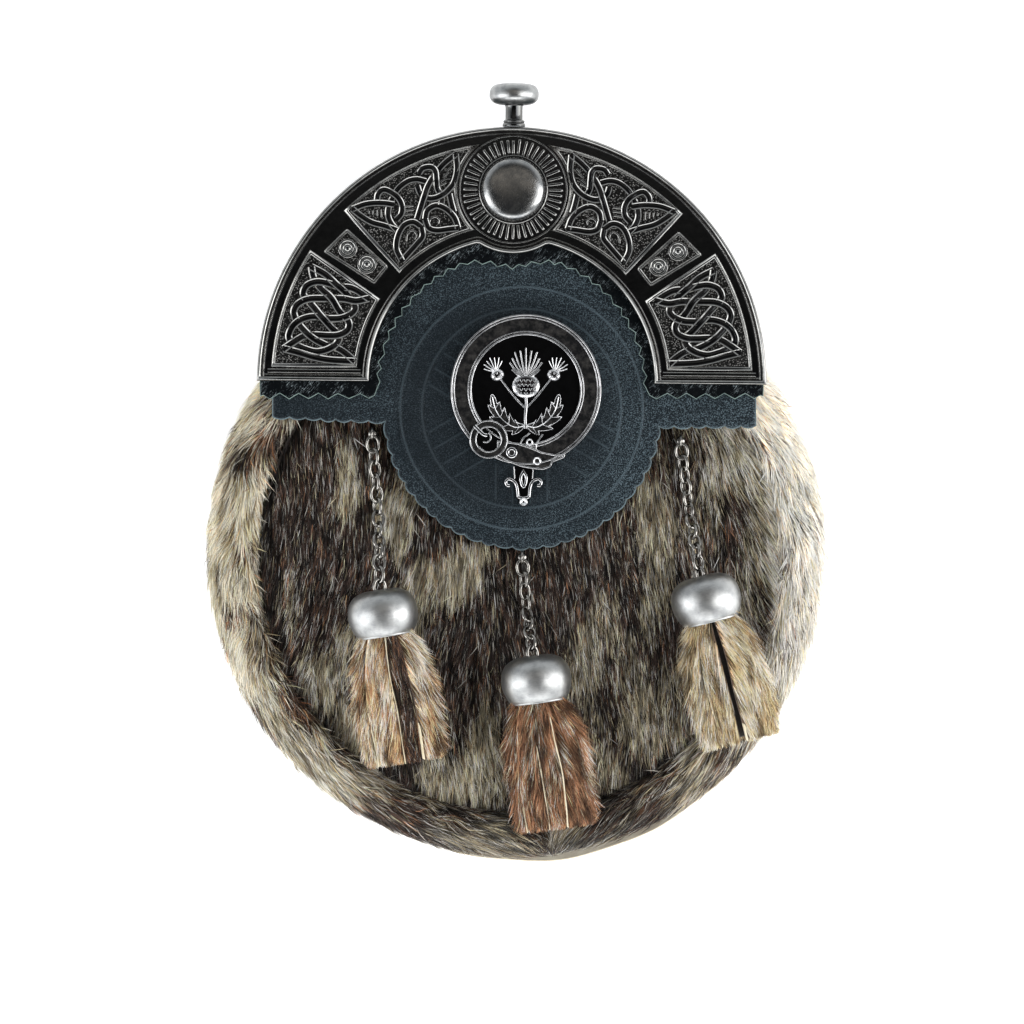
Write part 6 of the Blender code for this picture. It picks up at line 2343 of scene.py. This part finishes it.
@dataclass(frozen=True)
class Studio:
    """The floor, lights and camera."""

    pixel: float = 0.295
    frame_pixels: float = 1024.0
    middle: Pair = (-0.9, -10.0)
    plane_z: float = 40.0
    distance: float = 1500.0
    sensor: float = 36.0
    floor_reach: float = 3.0
    floor_z: float = -0.0005
    softboxes: tuple[Softbox, ...] = (
        Softbox("softbox_left", (-0.95, -0.3, 0.6), (0.7, 1.3), 8.5, (0.98, 0.99, 1.0)),
        Softbox("softbox_right", (0.95, -0.1, 0.6), (0.7, 1.4), 12.5, (1.0, 0.995, 0.985)),
        Softbox("softbox_foot", (0.0, -1.0, 0.55), (1.5, 0.6), 6.5, (1.0, 1.0, 1.0)),
        Softbox("fill_top", (0.0, 0.46, 1.5), (1.3, 0.5), 0.75, (1.0, 0.91, 0.80)),
    )

    def floor(self) -> None:
        """Makes the pale floor."""
        recipe = Recipe("floor_white")
        tone = recipe.blend(recipe.span(recipe.noise(60.0, 2.0), 0.3, 0.7), (0.9, 0.9, 0.9), (0.86, 0.865, 0.87))
        recipe.done(Base_Color=tone, Roughness=0.6, Emission_Color=tone, Emission_Strength=0.6)
        mesh = bpy.data.meshes.new("floor")
        corners = ((-1.0, -1.0), (1.0, -1.0), (1.0, 1.0), (-1.0, 1.0))
        mesh.from_pydata([(self.floor_reach * x, self.floor_reach * y, self.floor_z) for x, y in corners], [],
                         [(0, 1, 2, 3)])
        mesh.materials.append(recipe.material)
        item = bpy.data.objects.new("floor", mesh)
        bpy.context.scene.collection.objects.link(item)

    def room(self) -> None:
        """Sets up a room that is dark overhead."""
        world = bpy.data.worlds.new("room")
        world.use_nodes = True
        tree = world.node_tree
        place, split, steps = (tree.nodes.new(f"ShaderNode{kind}")
                               for kind in ("TexCoord", "SeparateXYZ", "MapRange"))
        for name, value in (("From Min", 0.45), ("From Max", 0.85), ("To Min", 0.85), ("To Max", 0.03)):
            steps.inputs[name].default_value = value
        tree.links.new(place.outputs["Generated"], split.inputs[0])
        tree.links.new(split.outputs["Z"], steps.inputs["Value"])
        tree.links.new(steps.outputs["Result"], tree.nodes["Background"].inputs["Strength"])
        tree.nodes["Background"].inputs["Color"].default_value = (0.93, 0.97, 1.0, 1.0)
        bpy.context.scene.world = world

    def camera(self) -> None:
        """Looks straight down on the pouch, framed as the photograph is."""
        lens = bpy.data.cameras.new("camera")
        lens.sensor_width = self.sensor
        lens.lens = self.sensor * self.distance / (self.pixel * self.frame_pixels)
        lens.clip_end = 20.0
        item = bpy.data.objects.new("camera", lens)
        item.location = Vector((*self.middle, self.plane_z + self.distance)) * MM
        bpy.context.scene.collection.objects.link(item)
        bpy.context.scene.camera = item
        bpy.context.scene.view_settings.view_transform = "Standard"
        bpy.context.scene.view_settings.exposure = 0.0

    def set_up(self) -> None:
        """Sets up the floor, three low softboxes with a weak fill, the room and the camera."""
        self.floor()
        for softbox in self.softboxes:
            softbox.set_up()
        self.room()
        self.camera()


FINISHES = (
    LeatherFinish("flap_black", (0.004, 0.007, 0.010), (0.116, 0.160, 0.188), speckle_left_right=(0.45, 1.3)),
    LeatherFinish("flap_pressed", (0.004, 0.007, 0.010), (0.116, 0.160, 0.188), speckle_left_right=(0.45, 1.35),
                  ridge=(39.86, 39.92), darker_disc=((-3.6, 21.6, 39.8), 35.0)),
    LeatherFinish("backing_black", (0.001, 0.002, 0.003), (0.34, 0.40, 0.43), speckle=0.0, creases=0.16,
                  specular=0.07),
    CutFinish("pinked_edge", (0.22, 0.30, 0.28), (0.02, 0.035, 0.035)),
    CutFinish("scalloped_edge", (0.13, 0.18, 0.20), (0.02, 0.03, 0.035)),
    HideFinish("pale_hide", (0.37, 0.34, 0.27), (0.27, 0.235, 0.18), (0.22, 0.09, 0.10)),
    CutFinish("hide_edge", (0.74, 0.66, 0.52), (0.48, 0.38, 0.26)),
    # The undercoats' very dark colours are partly the hide's own and partly painted shade deep between the hairs.
    HideFinish("undercoat", (0.030, 0.021, 0.016), (0.014, 0.010, 0.008)),
    HideFinish("roll_undercoat", (0.10, 0.075, 0.055), (0.035, 0.025, 0.018)),
    HideFinish("strip_skin", (0.16, 0.095, 0.055), (0.09, 0.05, 0.03)),
    CutFinish("strip_edge", (0.90, 0.82, 0.62), (0.62, 0.48, 0.28)),
    HairFinish(),
    CastFinish("cast_metal", (0.05, 0.053, 0.056), (0.36, 0.355, 0.34), roughness=0.16),
    CastFinish("stippled_metal", (0.02, 0.02, 0.02), (0.26, 0.255, 0.245), Ground.STIPPLED, roughness=0.36),
    CastFinish("badge_bright", (0.05, 0.05, 0.052), (0.85, 0.85, 0.86), roughness=0.16),
    CastFinish("badge_dull", (0.022, 0.023, 0.025), (0.22, 0.21, 0.20), Ground.MOTTLED, roughness=0.4),
    CastFinish("badge_black", (0.012, 0.012, 0.013), (0.02, 0.02, 0.02), roughness=0.3),
    BrushedFinish("pewter", (0.46, 0.465, 0.46), (0.30, 0.305, 0.31), 0.33),
    BrushedFinish("dome_metal", (0.36, 0.36, 0.355), (0.17, 0.18, 0.19), 0.16, 0.02, 60.0),
    BrushedFinish("knob_metal", (0.40, 0.405, 0.40), (0.22, 0.225, 0.23), 0.26, 0.02),
    CastFinish("neck_metal", (0.05, 0.053, 0.056), (0.17, 0.17, 0.165), roughness=0.14),
    BrushedFinish("chain_nickel", (0.34, 0.325, 0.30), (0.16, 0.152, 0.145), 0.12, 0.004),
)


def main() -> None:
    """Builds the scene."""
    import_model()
    Studio().set_up()
    for finish in FINISHES:
        finish.make()
    gusset, front = Gusset(), FurFront()
    Back().make()
    gusset.skin()
    gusset.hair()
    front.skin()
    front.hair()
    Band().make()
    Flap().make()
    Backing().make()
    Cantle().make()
    Turnings().make()
    Badge().make()
    for tassel in TASSELS:
        tassel.make_eye()
        tassel.make_chain()
        tassel.make_cap()
        tassel.make_strips()


if __name__ == "__main__":
    logging.basicConfig(level=logging.INFO, format="%(message)s")
    main()
